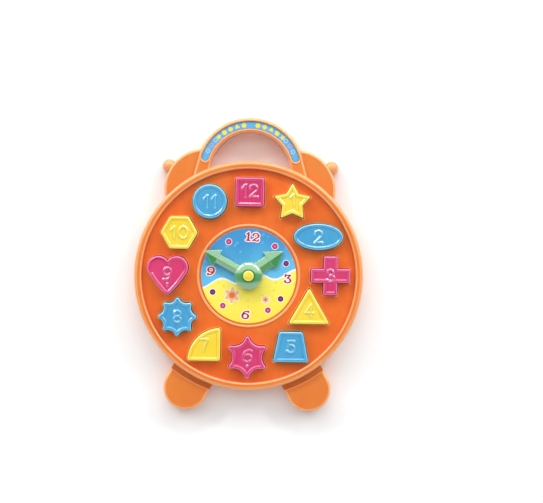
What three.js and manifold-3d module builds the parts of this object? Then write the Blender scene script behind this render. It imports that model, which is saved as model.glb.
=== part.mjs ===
// Learning clock toy: a moulded clock body with twelve shaped wells, a lift-out block in each well, and two
// hands that turn on a centre pin. It lies on its open back: +Z points up out of the dial and +Y to twelve
// o'clock. Units are millimetres.

import * as THREE from 'three';
import { mergeVertices } from 'three/addons/utils/BufferGeometryUtils.js';
import Module from 'manifold-3d';

const wasm = await Module();
wasm.setup();

// Drum, plate and rim bead of the body moulding
const drumRadius = 107;
const drumHeight = 20;
const drumDraft = 0.6;
const bodyWall = 2.2;
const beadWidth = 7;
const beadRise = 4;
const beadOuterRound = 3;
const beadInnerRound = 1.6;
const drumSegments = 60;

// Raised ring round the dial, and the boss behind it
const dialRingRadius = 47;
const dialRingWidth = 2.4;
const dialRingRise = 1;
const bossRadius = 7;
const bossDepth = 8;
const ribThickness = 1.6;
const ribDepth = 4;
const ribCount = 6;
const ribReach = 55;

// Wells and blocks
const wellRingOffset = 3.3;
const wellGap = 0.5;
const sleeveWall = 1.6;
const sleeveFootGap = 0.8;
const mouthRound = 1.4;
const blockHeight = 22;
const blockWall = 1.8;
const blockRoof = 2;
const blockDraft = 0.3;
const blockEdgeRound = 1.4;
const blockRimWidth = 2.3;
const blockRimChamfer = 1.3;
const blockFaceDrop = 0.8;

// Plan sizes of the twelve blocks
const squareWidth = 27.2;
const fiveStarReach = 18.5;
const ovalLength = 45.9;
const ovalWidth = 25;
const plusSpan = 36.6;
const plusArm = 13.5;
const triangleBase = 39.6;
const triangleHeight = 34.6;
const trapezoidBase = 33.6;
const trapezoidTop = 22.2;
const trapezoidHeight = 28.6;
const sixStarReach = 19.65;
const sixStarValleyReach = 14;
const sixStarTipRound = 2.2;
const quarterRadius = 31;
const eightStarReach = 18;
const eightStarValleyReach = 14.5;
const eightStarTipRound = 2.2;
const heartWidth = 38.4;
const heartHeight = 38;
const heartSideBow = 0.8;
const heartLobeRadius = 10.8;
const hexagonFlats = 30.6;
const discRadius = 16.1;
const softCorner = 3;
const triangleCorner = 3.6;
const hexagonCorner = 2.2;
const heartTipCorner = 5;
const keenCorner = 1.8;
const notchCorner = 1;
const leastCorner = 0.3;

// Handle arch
const archCentreInset = 11;
const archOuterRadius = 50.8;
const archInnerRadius = 37.7;
const archShoulderRise = 20;
const legFootHalfWidth = 54;
const handleHeight = 17;
const handleRound = 2;
const pocketWidth = 7.1;
const pocketDepth = 1;
const pocketBeadWidth = 1.8;
const pocketBeadRise = 0.7;
const pocketEndAngle = 18;

// Bells, ball knobs and feet
const bellAngle = 27.9;
const bellCentreInset = 15.6;
const bellRadius = 37;
const bellHeight = 14;
const bellRound = 2.4;
const knobRadius = 6.5;
const knobWall = 3;
const knobGap = 2;
const knobAngle = 58;
const footAngle = 28.6;
const footCentreOffset = 12.6;
const footRadius = 20.5;
const footHeight = 14;
const footRound = 2;
const footValleyWidth = 4.6;
const footValleyDepth = 3;

// Labels, hands and pin
const labelThickness = 0.3;
const dialLabelMargin = 1.6;
const handleLabelGap = 0.3;
const runningGap = 0.3;
const hubRadius = 12.8;
const lowerHubHeight = 3;
const upperHubWall = 3;
const upperHubHeight = 6.6;
const hubRecessRadius = 6;
const hubRecessDepth = 0.8;
const handEdgeHeight = 1.4;
const handRidgeDrop = 0.2;
const hourHandLength = 38.8;
const hourShaftWidth = 12;
const hourHeadWidth = 20.8;
const hourHeadLength = 15;
const minuteHandLength = 46.4;
const minuteShaftWidth = 8.6;
const minuteHeadWidth = 18;
const minuteHeadLength = 13.3;
const tipWidth = 1.2;
const hourHandAngle = 53.8;
const minuteHandAngle = -61.4;
const pinRadius = 3;
const pinHeadRadius = 4.9;
const pinHeadRise = 2;
const pinBarbRise = 1;
const pinBarbLength = 2.4;
const pinSlotWidth = 1.4;
const pinSlotDepth = 7;

const cutOverrun = 5;
const hourStep = 30;

const plateTop = drumHeight - beadRise;
const plateBottom = plateTop - bodyWall;
const shoulderRadius = drumRadius - drumDraft;
const beadFootRadius = shoulderRadius - beadWidth;
const wallMidRadius = drumRadius - bodyWall / 2;
const wellRingRadius = (dialRingRadius + beadFootRadius) / 2 + wellRingOffset;
const dialLabelRadius = dialRingRadius - dialRingWidth / 2 - dialLabelMargin;
const archCentreReach = drumRadius - archCentreInset;
const pocketRadius = (archOuterRadius + archInnerRadius) / 2;
const footCentreReach = drumRadius + footCentreOffset;
const handRidgeHeight = lowerHubHeight - handRidgeDrop;
const boreRadius = pinRadius + runningGap;
const bossBottom = plateTop - bossDepth;
const lowerHubBottom = plateTop + labelThickness + runningGap;
const upperHubBottom = lowerHubBottom + lowerHubHeight + runningGap;
const upperHubTop = upperHubBottom + upperHubHeight;
const pinHeadBottom = upperHubTop - hubRecessDepth + runningGap;

function radians(degrees) {
  return THREE.MathUtils.degToRad(degrees);
}

// A plan point at a clock angle, in degrees clockwise from twelve o'clock
function clockPoint(reach, degrees) {
  return turnPoint(reach, radians(degrees));
}

// Outlines. An edge is straight, or bows outward (above zero) or inward (below zero) by its own rise.

function makeEdge(from, to, bow) {
  const chord = to.clone().sub(from);
  const length = chord.length();
  const along = chord.clone().normalize();
  const outward = new THREE.Vector2(along.y, -along.x);
  if (bow === 0) {
    return { from, to, along, outward, radius: 0, side: 0 };
  }
  const rise = Math.abs(bow);
  const side = Math.sign(bow);
  const radius = (length * length / 4 + rise * rise) / (2 * rise);
  const centre = from.clone().add(to).divideScalar(2);
  centre.addScaledVector(outward, side * (rise - radius));
  return { from, to, along, outward, radius, side, centre };
}

function movedEdge(edge, margin) {
  if (edge.radius === 0) {
    return { ...edge, from: edge.from.clone().addScaledVector(edge.outward, margin) };
  }
  return { ...edge, radius: edge.radius + edge.side * margin };
}

function nearest(candidates, goal) {
  return candidates.reduce((best, next) => (next.distanceTo(goal) < best.distanceTo(goal) ? next : best));
}

function meetLines(first, second) {
  const gap = second.from.clone().sub(first.from);
  const reach = gap.cross(second.along) / first.along.cross(second.along);
  return [first.from.clone().addScaledVector(first.along, reach)];
}

function meetLineAndArc(line, arc) {
  const toCentre = arc.centre.clone().sub(line.from);
  const foot = line.from.clone().addScaledVector(line.along, toCentre.dot(line.along));
  const half = Math.sqrt(Math.max(0, arc.radius ** 2 - foot.distanceToSquared(arc.centre)));
  return [half, -half].map((step) => foot.clone().addScaledVector(line.along, step));
}

function meetArcs(first, second) {
  const between = second.centre.clone().sub(first.centre);
  const span = between.length();
  const reach = (span ** 2 + first.radius ** 2 - second.radius ** 2) / (2 * span);
  const half = Math.sqrt(Math.max(0, first.radius ** 2 - reach ** 2));
  between.normalize();
  const across = new THREE.Vector2(-between.y, between.x);
  const foot = first.centre.clone().addScaledVector(between, reach);
  return [half, -half].map((step) => foot.clone().addScaledVector(across, step));
}

function cornerBetween(first, second, oldCorner) {
  if (first.radius === 0 && second.radius === 0) {
    return meetLines(first, second)[0];
  }
  if (first.radius === 0) {
    return nearest(meetLineAndArc(first, second), oldCorner);
  }
  if (second.radius === 0) {
    return nearest(meetLineAndArc(second, first), oldCorner);
  }
  return nearest(meetArcs(first, second), oldCorner);
}

function edgePoint(edge, start, end, distance) {
  if (edge.radius === 0) {
    return start.clone().addScaledVector(edge.along, distance);
  }
  const turn = edge.side * distance / edge.radius;
  return start.clone().rotateAround(edge.centre, turn);
}

function edgeLength(edge, start, end) {
  if (edge.radius === 0) {
    return start.distanceTo(end);
  }
  const turn = end.clone().sub(edge.centre).angle() - start.clone().sub(edge.centre).angle();
  return edge.radius * THREE.MathUtils.euclideanModulo(edge.side * turn, 2 * Math.PI);
}

// A ring of corners, each { at, corner, bow, steps }: its rounding and the edge that leaves it. The ring can be
// asked for at any margin outside (or, below zero, inside) the drawn outline, always with as many points.
function cornerOutline(corners) {
  const count = corners.length;
  const edges = corners.map((item, i) => makeEdge(item.at, corners[(i + 1) % count].at, item.bow ?? 0));
  return {
    ring(margin) {
      const moved = edges.map((edge) => movedEdge(edge, margin));
      const places = corners.map((item, i) => cornerBetween(moved[(i + count - 1) % count], moved[i], item.at));
      const points = [];
      corners.forEach((item, i) => {
        const before = moved[(i + count - 1) % count];
        const after = moved[i];
        const place = places[i];
        const next = places[(i + 1) % count];
        const length = edgeLength(after, place, next);
        const reachHere = cornerReach(item, margin);
        const reachNext = cornerReach(corners[(i + 1) % count], margin);
        if (reachHere === 0) {
          points.push(place);
        } else {
          const previous = places[(i + count - 1) % count];
          const arrival = edgeLength(before, previous, place);
          const start = edgePoint(before, previous, place, arrival - reachHere);
          const end = edgePoint(after, place, next, reachHere);
          points.push(...new THREE.QuadraticBezierCurve(start, place, end).getPoints(item.turns ?? 2));
        }
        const steps = item.steps ?? 1;
        for (let step = 1; step < steps; step += 1) {
          const share = step / steps;
          const distance = reachHere + share * (length - reachHere - reachNext);
          points.push(edgePoint(after, place, next, distance));
        }
      });
      return points;
    },
  };
}

function cornerReach(item, margin) {
  if (!item.round) {
    return 0;
  }
  const growth = item.hollow ? -margin : margin;
  return Math.max(leastCorner, item.round + growth);
}

function ovalOutline(halfLength, halfWidth, steps) {
  return {
    ring(margin) {
      const curve = new THREE.EllipseCurve(0, 0, halfLength + margin, halfWidth + margin);
      return curve.getPoints(steps).slice(0, steps);
    },
  };
}

function movedOutline(outline, place) {
  return { ring: (margin) => outline.ring(margin).map((point) => point.clone().add(place)) };
}

function turnedOutline(outline, turn) {
  const origin = new THREE.Vector2();
  return { ring: (margin) => outline.ring(margin).map((point) => point.clone().rotateAround(origin, turn)) };
}

// Solids

function geometryOf(positions, indices) {
  const geometry = new THREE.BufferGeometry();
  geometry.setAttribute('position', new THREE.Float32BufferAttribute(positions, 3));
  geometry.setIndex(indices);
  return geometry;
}

// Six times the volume inside a skin of triangles: below zero where its faces point inward
function skinVolume(positions, faces) {
  const corner = (index) => new THREE.Vector3().fromArray(positions, 3 * index);
  return faces.reduce((sum, [a, b, c]) => sum + corner(a).dot(corner(b).cross(corner(c))), 0);
}

function manifoldOf(geometry) {
  const bare = geometry.clone();
  bare.deleteAttribute('normal');
  bare.deleteAttribute('uv');
  const merged = mergeVertices(bare);
  const positions = merged.attributes.position.array;
  const faces = [];
  for (let i = 0; i < merged.index.count; i += 3) {
    const [a, b, c] = merged.index.array.slice(i, i + 3);
    if (a !== b && b !== c && c !== a) {
      faces.push([a, b, c]);
    }
  }
  if (skinVolume(positions, faces) < 0) {
    faces.forEach((face) => face.reverse());
  }
  const mesh = new wasm.Mesh({
    numProp: 3,
    vertProperties: new Float32Array(positions),
    triVerts: new Uint32Array(faces.flat()),
  });
  return new wasm.Manifold(mesh);
}

function geometryOfManifold(solid) {
  const mesh = solid.getMesh();
  return geometryOf(Array.from(mesh.vertProperties), Array.from(mesh.triVerts));
}

// Rings of points joined into a closed skin, with a cap at each end, or joined end to start as a hoop
function loftRings(rings, hoop) {
  const count = rings[0].length;
  const positions = rings.flat().flatMap((point) => [point.x, point.y, point.z]);
  const indices = [];
  const bands = hoop ? rings.length : rings.length - 1;
  for (let band = 0; band < bands; band += 1) {
    const low = band * count;
    const high = ((band + 1) % rings.length) * count;
    for (let i = 0; i < count; i += 1) {
      const j = (i + 1) % count;
      indices.push(low + i, low + j, high + j, low + i, high + j, high + i);
    }
  }
  if (!hoop) {
    const last = (rings.length - 1) * count;
    capFaces(rings[0]).forEach(([a, b, c]) => indices.push(a, c, b));
    capFaces(rings[rings.length - 1]).forEach(([a, b, c]) => indices.push(last + a, last + b, last + c));
  }
  return geometryOf(positions, indices);
}

function capFaces(ring) {
  const flat = ring.map((point) => new THREE.Vector2(point.x, point.y));
  return THREE.ShapeUtils.triangulateShape(flat, []);
}

// A profile of [margin, height] pairs carried round an outline. It runs from its lower or inner cap, up the
// outside, to its upper cap.
function carryProfile(outline, profile, hoop = false) {
  const rings = profile.map(([margin, height]) => {
    return outline.ring(margin).map((point) => new THREE.Vector3(point.x, point.y, height));
  });
  return manifoldOf(loftRings(rings, hoop));
}

function turnProfile(profile, segments) {
  const points = profile.map(([radius, height]) => new THREE.Vector2(radius, height));
  const geometry = new THREE.LatheGeometry(points, segments);
  geometry.rotateX(Math.PI / 2);
  return manifoldOf(geometry);
}

// The quarter-round [margin, height] points that lead a wall up to its top. It rolls inward by the reach, or
// outward where the reach is below zero.
function roundedEdge(margin, top, reach, steps) {
  const points = [];
  for (let step = 0; step <= steps; step += 1) {
    const turn = Math.PI / 2 * step / steps;
    points.push([margin - reach * (1 - Math.cos(turn)), top - Math.abs(reach) * (1 - Math.sin(turn))]);
  }
  return points;
}

// Outlines of the twelve blocks, each drawn about the middle of its own box

function polygonOutline(places, round) {
  return cornerOutline(places.map(([x, y]) => ({ at: new THREE.Vector2(x, y), round })));
}

function squareOutline() {
  const half = squareWidth / 2;
  return polygonOutline([[-half, -half], [half, -half], [half, half], [-half, half]], softCorner);
}

const starNotchShare = 0.55;

function starOutline() {
  const points = 5;
  const lowTip = clockPoint(fiveStarReach, 180 * (1 - 1 / points));
  const middle = (fiveStarReach + lowTip.y) / 2;
  const corners = [];
  for (let i = 0; i < 2 * points; i += 1) {
    const hollow = i % 2 === 1;
    const at = clockPoint(hollow ? fiveStarReach * starNotchShare : fiveStarReach, -180 * i / points);
    at.y -= middle;
    corners.push({ at, round: hollow ? notchCorner : keenCorner, hollow, turns: hollow ? 1 : 2 });
  }
  return cornerOutline(corners);
}

function plusOutline() {
  const far = plusSpan / 2;
  const near = plusArm / 2;
  const quarter = [[far, -near, false], [far, near, false], [near, near, true]];
  const corners = [];
  for (let i = 0; i < 4; i += 1) {
    quarter.forEach(([x, y, hollow]) => {
      const at = new THREE.Vector2(x, y).rotateAround(new THREE.Vector2(), i * Math.PI / 2);
      corners.push({ at, round: hollow ? notchCorner : keenCorner, hollow, turns: hollow ? 1 : 2 });
    });
  }
  return cornerOutline(corners);
}

function triangleOutline() {
  const half = triangleBase / 2;
  const rise = triangleHeight / 2;
  return polygonOutline([[-half, -rise], [half, -rise], [0, rise]], triangleCorner);
}

function trapezoidOutline() {
  const low = trapezoidBase / 2;
  const high = trapezoidTop / 2;
  const rise = trapezoidHeight / 2;
  return polygonOutline([[-low, -rise], [low, -rise], [high, rise], [-high, rise]], softCorner);
}

// A star whose round tips run smoothly into hollow arcs. At an inner margin that is past a tip's own round, the
// tip keeps the least corner and stays in touch with the hollow arcs on both sides.
function softStarOutline(points, reach, valleyReach, tipRound) {
  const half = Math.PI / points;
  const tipCentre = reach - tipRound;
  const across = valleyReach ** 2 + tipCentre ** 2 - 2 * valleyReach * tipCentre * Math.cos(half);
  const hollowRound = (across - tipRound ** 2) / (2 * (tipRound - valleyReach + tipCentre * Math.cos(half)));
  const hollow = new THREE.Vector2(Math.sin(half), Math.cos(half)).multiplyScalar(valleyReach + hollowRound);
  return {
    ring(margin) {
      const tip = Math.max(leastCorner, tipRound + margin);
      const bend = hollowRound - margin;
      const centre = hollow.y - Math.sqrt((tip + bend) ** 2 - hollow.x ** 2);
      const tipTurn = Math.atan2(hollow.x, hollow.y - centre);
      const hollowTurn = tipTurn - half;
      const ring = [];
      for (let i = 0; i < points; i += 1) {
        const axis = -2 * half * i;
        arcTurns(-tipTurn, 4).forEach((turn) => {
          ring.push(turnPoint(centre, axis).add(turnPoint(tip, axis - turn)));
        });
        arcTurns(-hollowTurn, 4).slice(1, -1).forEach((turn) => {
          ring.push(turnPoint(hollow.length(), axis - half).sub(turnPoint(bend, axis - half + turn)));
        });
      }
      return ring;
    },
  };
}

// Even turns from the first one to its opposite, both ends among them
function arcTurns(first, steps) {
  return Array.from({ length: steps + 1 }, (_, step) => first * (1 - 2 * step / steps));
}

function turnPoint(reach, turn) {
  return new THREE.Vector2(reach * Math.sin(turn), reach * Math.cos(turn));
}

function quarterOutline() {
  const half = quarterRadius / 2;
  const bow = quarterRadius * (1 - Math.SQRT1_2);
  return cornerOutline([
    { at: new THREE.Vector2(half, -half), round: softCorner },
    { at: new THREE.Vector2(half, half), round: softCorner, bow, steps: 10 },
    { at: new THREE.Vector2(-half, -half), round: softCorner },
  ]);
}

function heartOutline() {
  const centreX = heartWidth / 2 - heartLobeRadius;
  const centreY = heartHeight / 2 - heartLobeRadius;
  const tip = new THREE.Vector2(0, -heartHeight / 2);
  const centre = new THREE.Vector2(centreX, centreY);
  const span = centre.clone().sub(tip);
  const flank = Math.sqrt(span.lengthSq() - heartLobeRadius ** 2);
  const lean = span.angle() - Math.asin(heartLobeRadius / span.length());
  const side = new THREE.Vector2(Math.cos(lean), Math.sin(lean)).multiplyScalar(flank).add(tip);
  const notch = new THREE.Vector2(0, centreY + Math.sqrt(heartLobeRadius ** 2 - centreX ** 2));
  const middle = side.clone().add(notch).divideScalar(2);
  const chord = notch.clone().sub(side).normalize();
  const outward = new THREE.Vector2(chord.y, -chord.x);
  const bow = heartLobeRadius + centre.clone().sub(middle).dot(outward);
  return cornerOutline([
    { at: tip, round: heartTipCorner, turns: 4, bow: heartSideBow, steps: 3 },
    { at: side, bow, steps: 9 },
    { at: notch, round: notchCorner, hollow: true, turns: 1, bow, steps: 9 },
    { at: new THREE.Vector2(-side.x, side.y), bow: heartSideBow, steps: 3 },
  ]);
}

function hexagonOutline() {
  const reach = hexagonFlats / Math.sqrt(3);
  const places = [];
  for (let i = 0; i < 6; i += 1) {
    const at = clockPoint(reach, 90 - 60 * i);
    places.push([at.x, at.y]);
  }
  return polygonOutline(places, hexagonCorner);
}

// Each block's name, its hour, how far it leans from the hour line in degrees, and its reach from the centre
const blockPlan = [
  { name: 'block_12_square', hour: 12, lean: 0, reachShare: 1.016, color: 'pink', outline: squareOutline() },
  { name: 'block_1_star', hour: 1, lean: -0.6, reachShare: 1.053, color: 'yellow', outline: starOutline() },
  {
    name: 'block_2_oval', hour: 2, lean: 0, reachShare: 0.97, color: 'cyan',
    outline: ovalOutline(ovalLength / 2, ovalWidth / 2, 30),
  },
  { name: 'block_3_plus', hour: 3, lean: -0.9, reachShare: 0.993, color: 'pink', outline: plusOutline() },
  { name: 'block_4_triangle', hour: 4, lean: -4.6, reachShare: 0.819, color: 'yellow', outline: triangleOutline() },
  { name: 'block_5_trapezoid', hour: 5, lean: -1.6, reachShare: 1.003, color: 'cyan', outline: trapezoidOutline() },
  {
    name: 'block_6_six_point_star', hour: 6, lean: 0, reachShare: 0.988, color: 'pink',
    outline: softStarOutline(6, sixStarReach, sixStarValleyReach, sixStarTipRound),
  },
  {
    name: 'block_7_quarter_circle', hour: 7, lean: 2.2, reachShare: 0.99, color: 'yellow',
    outline: quarterOutline(),
  },
  {
    name: 'block_8_eight_point_star', hour: 8, lean: -0.7, reachShare: 0.995, color: 'cyan',
    outline: softStarOutline(8, eightStarReach, eightStarValleyReach, eightStarTipRound),
  },
  { name: 'block_9_heart', hour: 9, lean: -1.1, reachShare: 0.983, color: 'pink', outline: heartOutline() },
  { name: 'block_10_hexagon', hour: 10, lean: 1.1, reachShare: 0.99, color: 'yellow', outline: hexagonOutline() },
  {
    name: 'block_11_disc', hour: 11, lean: 1.6, reachShare: 1.018, color: 'cyan',
    outline: ovalOutline(discRadius, discRadius, 26),
  },
];

function blockPlace(block) {
  return clockPoint(wellRingRadius * block.reachShare, hourStep * block.hour + block.lean);
}

// A hollow cup, open at the bottom, with a raised rim round its top face
function makeBlock(block) {
  const side = -blockDraft;
  const face = -blockDraft - blockRimWidth;
  return carryProfile(block.outline, [
    [-blockWall - blockDraft, blockHeight - blockFaceDrop - blockRoof],
    [-blockWall, 0],
    [0, 0],
    ...roundedEdge(side, blockHeight, blockEdgeRound, 2),
    [face, blockHeight],
    [face - blockRimChamfer, blockHeight - blockFaceDrop],
  ]);
}

// Body moulding

function makeDrum() {
  const hollowTop = drumHeight - bodyWall;
  const ringHalf = dialRingWidth / 2;
  return turnProfile([
    [0, plateBottom],
    [beadFootRadius + bodyWall, plateBottom],
    [beadFootRadius + bodyWall, hollowTop],
    [shoulderRadius - beadOuterRound, hollowTop],
    [shoulderRadius - bodyWall, drumHeight - beadOuterRound],
    [drumRadius - bodyWall, 0],
    [drumRadius, 0],
    ...roundedEdge(shoulderRadius, drumHeight, beadOuterRound, 3),
    ...roundedEdge(beadFootRadius, drumHeight, -beadInnerRound, 3).reverse(),
    [beadFootRadius, plateTop],
    [dialRingRadius + ringHalf, plateTop],
    [dialRingRadius + ringHalf / 2, plateTop + dialRingRise],
    [dialRingRadius - ringHalf / 2, plateTop + dialRingRise],
    [dialRingRadius - ringHalf, plateTop],
    [0, plateTop],
  ], drumSegments);
}

function makeSleeve(outline) {
  const plateMiddle = (plateTop + plateBottom) / 2;
  return carryProfile(outline, [
    [wellGap / 2, sleeveFootGap],
    [wellGap + sleeveWall, sleeveFootGap],
    [wellGap + sleeveWall, plateMiddle],
    [wellGap / 2, plateMiddle],
  ], true);
}

// The well's clear space, flared where its mouth rolls over into the plate
function makeWellCutter(outline) {
  return carryProfile(outline, [
    [wellGap, -cutOverrun],
    ...roundedEdge(wellGap, plateTop, -mouthRound, 2),
    [wellGap + mouthRound, plateTop + cutOverrun],
  ]);
}

function makeBoss() {
  return turnProfile([[0, bossBottom], [bossRadius, bossBottom], [bossRadius, plateTop], [0, plateTop]], 24);
}

// Ribs that spread from the boss under the plate
function makeRibs() {
  const depth = ribDepth + bodyWall / 2;
  const rib = new THREE.BoxGeometry(ribThickness, ribReach, depth);
  rib.translate(0, ribReach / 2, plateBottom - ribDepth + depth / 2);
  const ribs = [];
  for (let i = 0; i < ribCount; i += 1) {
    ribs.push(manifoldOf(rib.clone().rotateZ(2 * Math.PI * i / ribCount)));
  }
  return joined(ribs);
}

function joined(solids) {
  return solids.reduce((whole, next) => whole.add(next));
}

function cylinder(radius, low, high, segments, centre = new THREE.Vector2()) {
  const geometry = new THREE.CylinderGeometry(radius, radius, high - low, segments);
  geometry.rotateX(Math.PI / 2);
  geometry.translate(centre.x, centre.y, (low + high) / 2);
  return manifoldOf(geometry);
}

// A hollow lobe beside the drum: its outer skin and the clear space inside it
function makeLobe(outline, height, round) {
  return {
    skin: carryProfile(outline, [[0, 0], ...roundedEdge(0, height, round, 2)]),
    space: carryProfile(outline, [[-bodyWall, -cutOverrun], [-bodyWall, height - bodyWall]]),
  };
}

const archCentre = new THREE.Vector2(0, archCentreReach);

// The handle's outer outline: two splayed legs and the arch over them. The legs start inside the drum wall.
function handleOutline() {
  const shoulderX = Math.sqrt(archOuterRadius ** 2 - archShoulderRise ** 2);
  const shoulderY = archCentreReach + archShoulderRise;
  const footY = Math.sqrt(wallMidRadius ** 2 - legFootHalfWidth ** 2) - bodyWall;
  return cornerOutline([
    { at: new THREE.Vector2(legFootHalfWidth, footY) },
    { at: new THREE.Vector2(shoulderX, shoulderY), bow: archOuterRadius - archShoulderRise, steps: 20 },
    { at: new THREE.Vector2(-shoulderX, shoulderY) },
    { at: new THREE.Vector2(-legFootHalfWidth, footY) },
  ]);
}

// A curved band with round ends, centred on the arch
function bandOutline(width) {
  const half = width / 2;
  const end = radians(pocketEndAngle);
  const ends = [end, Math.PI - end].map((turn) => new THREE.Vector2(Math.cos(turn), Math.sin(turn)));
  const place = (direction, radius) => archCentre.clone().addScaledVector(direction, radius);
  const rise = 1 - Math.sin(end);
  return cornerOutline([
    { at: place(ends[0], pocketRadius + half), bow: (pocketRadius + half) * rise, steps: 16 },
    { at: place(ends[1], pocketRadius + half), bow: half, steps: 4 },
    { at: place(ends[1], pocketRadius - half), bow: -(pocketRadius - half) * rise, steps: 16 },
    { at: place(ends[0], pocketRadius - half), bow: half, steps: 4 },
  ]);
}

function pocketBead() {
  const low = handleHeight - pocketBeadRise;
  const high = handleHeight + pocketBeadRise;
  const step = pocketBeadWidth / 3;
  return carryProfile(bandOutline(pocketWidth), [
    [0, low],
    [pocketBeadWidth, low],
    [pocketBeadWidth, handleHeight],
    [pocketBeadWidth - step, high],
    [step, high],
    [0, handleHeight],
  ], true);
}

function bellCentre(side) {
  return clockPoint(drumRadius - bellCentreInset, side * bellAngle);
}

function bellOutline(side) {
  return movedOutline(ovalOutline(bellRadius, bellRadius, 40), bellCentre(side));
}

function knobProfile(radius, bottom, top) {
  const points = [[0, bottom], [radius, bottom]];
  const steps = 4;
  for (let step = 0; step < steps; step += 1) {
    const turn = Math.PI / 2 * step / steps;
    points.push([radius * Math.cos(turn), top - radius + radius * Math.sin(turn)]);
  }
  points.push([0, top]);
  return turnProfile(points, 16);
}

function makeKnob(side) {
  const centre = bellCentre(side).add(clockPoint(bellRadius + knobGap, side * knobAngle));
  const place = [centre.x, centre.y, 0];
  const top = 2 * knobRadius;
  return {
    skin: knobProfile(knobRadius, 0, top).translate(place),
    space: knobProfile(knobRadius - knobWall, -cutOverrun, top - knobWall).translate(place),
  };
}

// A foot runs outward along its own radius and ends in a half circle
function footOutline(side) {
  const start = wallMidRadius - bodyWall;
  const corners = cornerOutline([
    { at: new THREE.Vector2(-footRadius, -start) },
    { at: new THREE.Vector2(-footRadius, -footCentreReach), bow: footRadius, steps: 14 },
    { at: new THREE.Vector2(footRadius, -footCentreReach) },
    { at: new THREE.Vector2(footRadius, -start) },
  ]);
  return turnedOutline(corners, radians(side * footAngle));
}

// The valley between a foot's face and the drum, and the foot's clear space kept below it
function footValley() {
  const valleyRadius = drumRadius + footValleyWidth;
  const floor = footHeight - footValleyDepth;
  return {
    cut: cylinder(valleyRadius, floor, footHeight + cutOverrun, drumSegments),
    floor: cylinder(valleyRadius + bodyWall, floor - bodyWall, footHeight, drumSegments),
  };
}

function makeFoot(side) {
  const lobe = makeLobe(footOutline(side), footHeight, footRound);
  const valley = footValley();
  const rib = new THREE.BoxGeometry(ribThickness, 2 * footRadius, footHeight - bodyWall);
  rib.translate(0, -footCentreReach, (footHeight - bodyWall) / 2);
  rib.rotateZ(radians(side * footAngle));
  return {
    skin: lobe.skin.subtract(valley.cut),
    space: lobe.space.subtract(valley.floor).subtract(manifoldOf(rib)),
  };
}

// Handle, bells, knobs and feet: joined skins less joined spaces, all outside the drum wall
function makeLobes() {
  const handle = makeLobe(handleOutline(), handleHeight, handleRound);
  const sides = [-1, 1];
  const bells = sides.map((side) => makeLobe(bellOutline(side), bellHeight, bellRound));
  const knobs = sides.map((side) => makeKnob(side));
  const feet = sides.map((side) => makeFoot(side));
  const parts = [...bells, ...knobs, ...feet, handle];
  const skins = joined(parts.map((part) => part.skin)).add(pocketBead());
  const spaces = joined(parts.map((part) => part.space));
  const high = drumHeight + cutOverrun;
  const grip = cylinder(archInnerRadius, -cutOverrun, high, 48, archCentre);
  const gripWall = cylinder(archInnerRadius + bodyWall, -cutOverrun, high, 48, archCentre);
  const drumCore = cylinder(wallMidRadius, -cutOverrun, high, drumSegments);
  const pocket = carryProfile(bandOutline(pocketWidth), [
    [0, handleHeight - pocketDepth],
    [0, high],
  ]);
  return skins.subtract(spaces.subtract(gripWall)).subtract(grip).subtract(pocket).subtract(drumCore);
}

function makeBody() {
  const outlines = blockPlan.map((block) => movedOutline(block.outline, blockPlace(block)));
  const sleeves = joined(outlines.map((outline) => makeSleeve(outline)));
  const wells = joined(outlines.map((outline) => makeWellCutter(outline)));
  const bore = cylinder(boreRadius, bossBottom - cutOverrun, plateTop + cutOverrun, 24);
  const moulding = joined([makeDrum(), makeLobes(), sleeves, makeBoss(), makeRibs()]);
  return moulding.subtract(wells).subtract(bore);
}

// Labels, hands and pin

function makeDialLabel() {
  const disc = cylinder(dialLabelRadius, plateTop, plateTop + labelThickness, 64);
  return disc.subtract(cylinder(boreRadius, plateBottom, plateTop + cutOverrun, 24));
}

function makeHandleLabel() {
  const floor = handleHeight - pocketDepth;
  return carryProfile(bandOutline(pocketWidth - 2 * handleLabelGap), [[0, floor], [0, floor + labelThickness]]);
}

// An arrow along +Y whose top is a gable, drawn as sections of [reach, half width, ridge height]
function makeArrow(length, shaftWidth, headWidth, headLength) {
  const headStart = length - headLength;
  const gableRise = handRidgeHeight - handEdgeHeight;
  const sections = [
    [hubRadius / 2, shaftWidth / 2, handRidgeHeight],
    [headStart, shaftWidth / 2, handRidgeHeight],
    [headStart, headWidth / 2, handRidgeHeight],
    [length, tipWidth / 2, handEdgeHeight + gableRise * tipWidth / headWidth],
  ];
  const rings = sections.map(([reach, half, ridge]) => [
    new THREE.Vector3(half, 0, reach),
    new THREE.Vector3(half, handEdgeHeight, reach),
    new THREE.Vector3(0, ridge, reach),
    new THREE.Vector3(-half, handEdgeHeight, reach),
    new THREE.Vector3(-half, 0, reach),
  ]);
  const geometry = loftRings(rings, false);
  geometry.rotateX(Math.PI / 2);
  geometry.rotateZ(Math.PI);
  return manifoldOf(geometry);
}

function makeHourHand() {
  const hub = turnProfile([
    [boreRadius, 0],
    [hubRadius, 0],
    [hubRadius, lowerHubHeight],
    [boreRadius, lowerHubHeight],
    [boreRadius, 0],
  ], 32);
  return hub.add(makeArrow(hourHandLength, hourShaftWidth, hourHeadWidth, hourHeadLength));
}

function makeMinuteHand() {
  const dome = [];
  const steps = 5;
  for (let step = 0; step <= steps; step += 1) {
    const turn = Math.PI / 2 * step / steps;
    const radius = hubRecessRadius + (hubRadius - hubRecessRadius) * Math.cos(turn);
    dome.push([radius, upperHubWall + (upperHubHeight - upperHubWall) * Math.sin(turn)]);
  }
  const hub = turnProfile([
    [boreRadius, 0],
    [hubRadius, 0],
    ...dome,
    [hubRecessRadius, upperHubHeight - hubRecessDepth],
    [boreRadius, upperHubHeight - hubRecessDepth],
    [boreRadius, 0],
  ], 32);
  return hub.add(makeArrow(minuteHandLength, minuteShaftWidth, minuteHeadWidth, minuteHeadLength));
}

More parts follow.
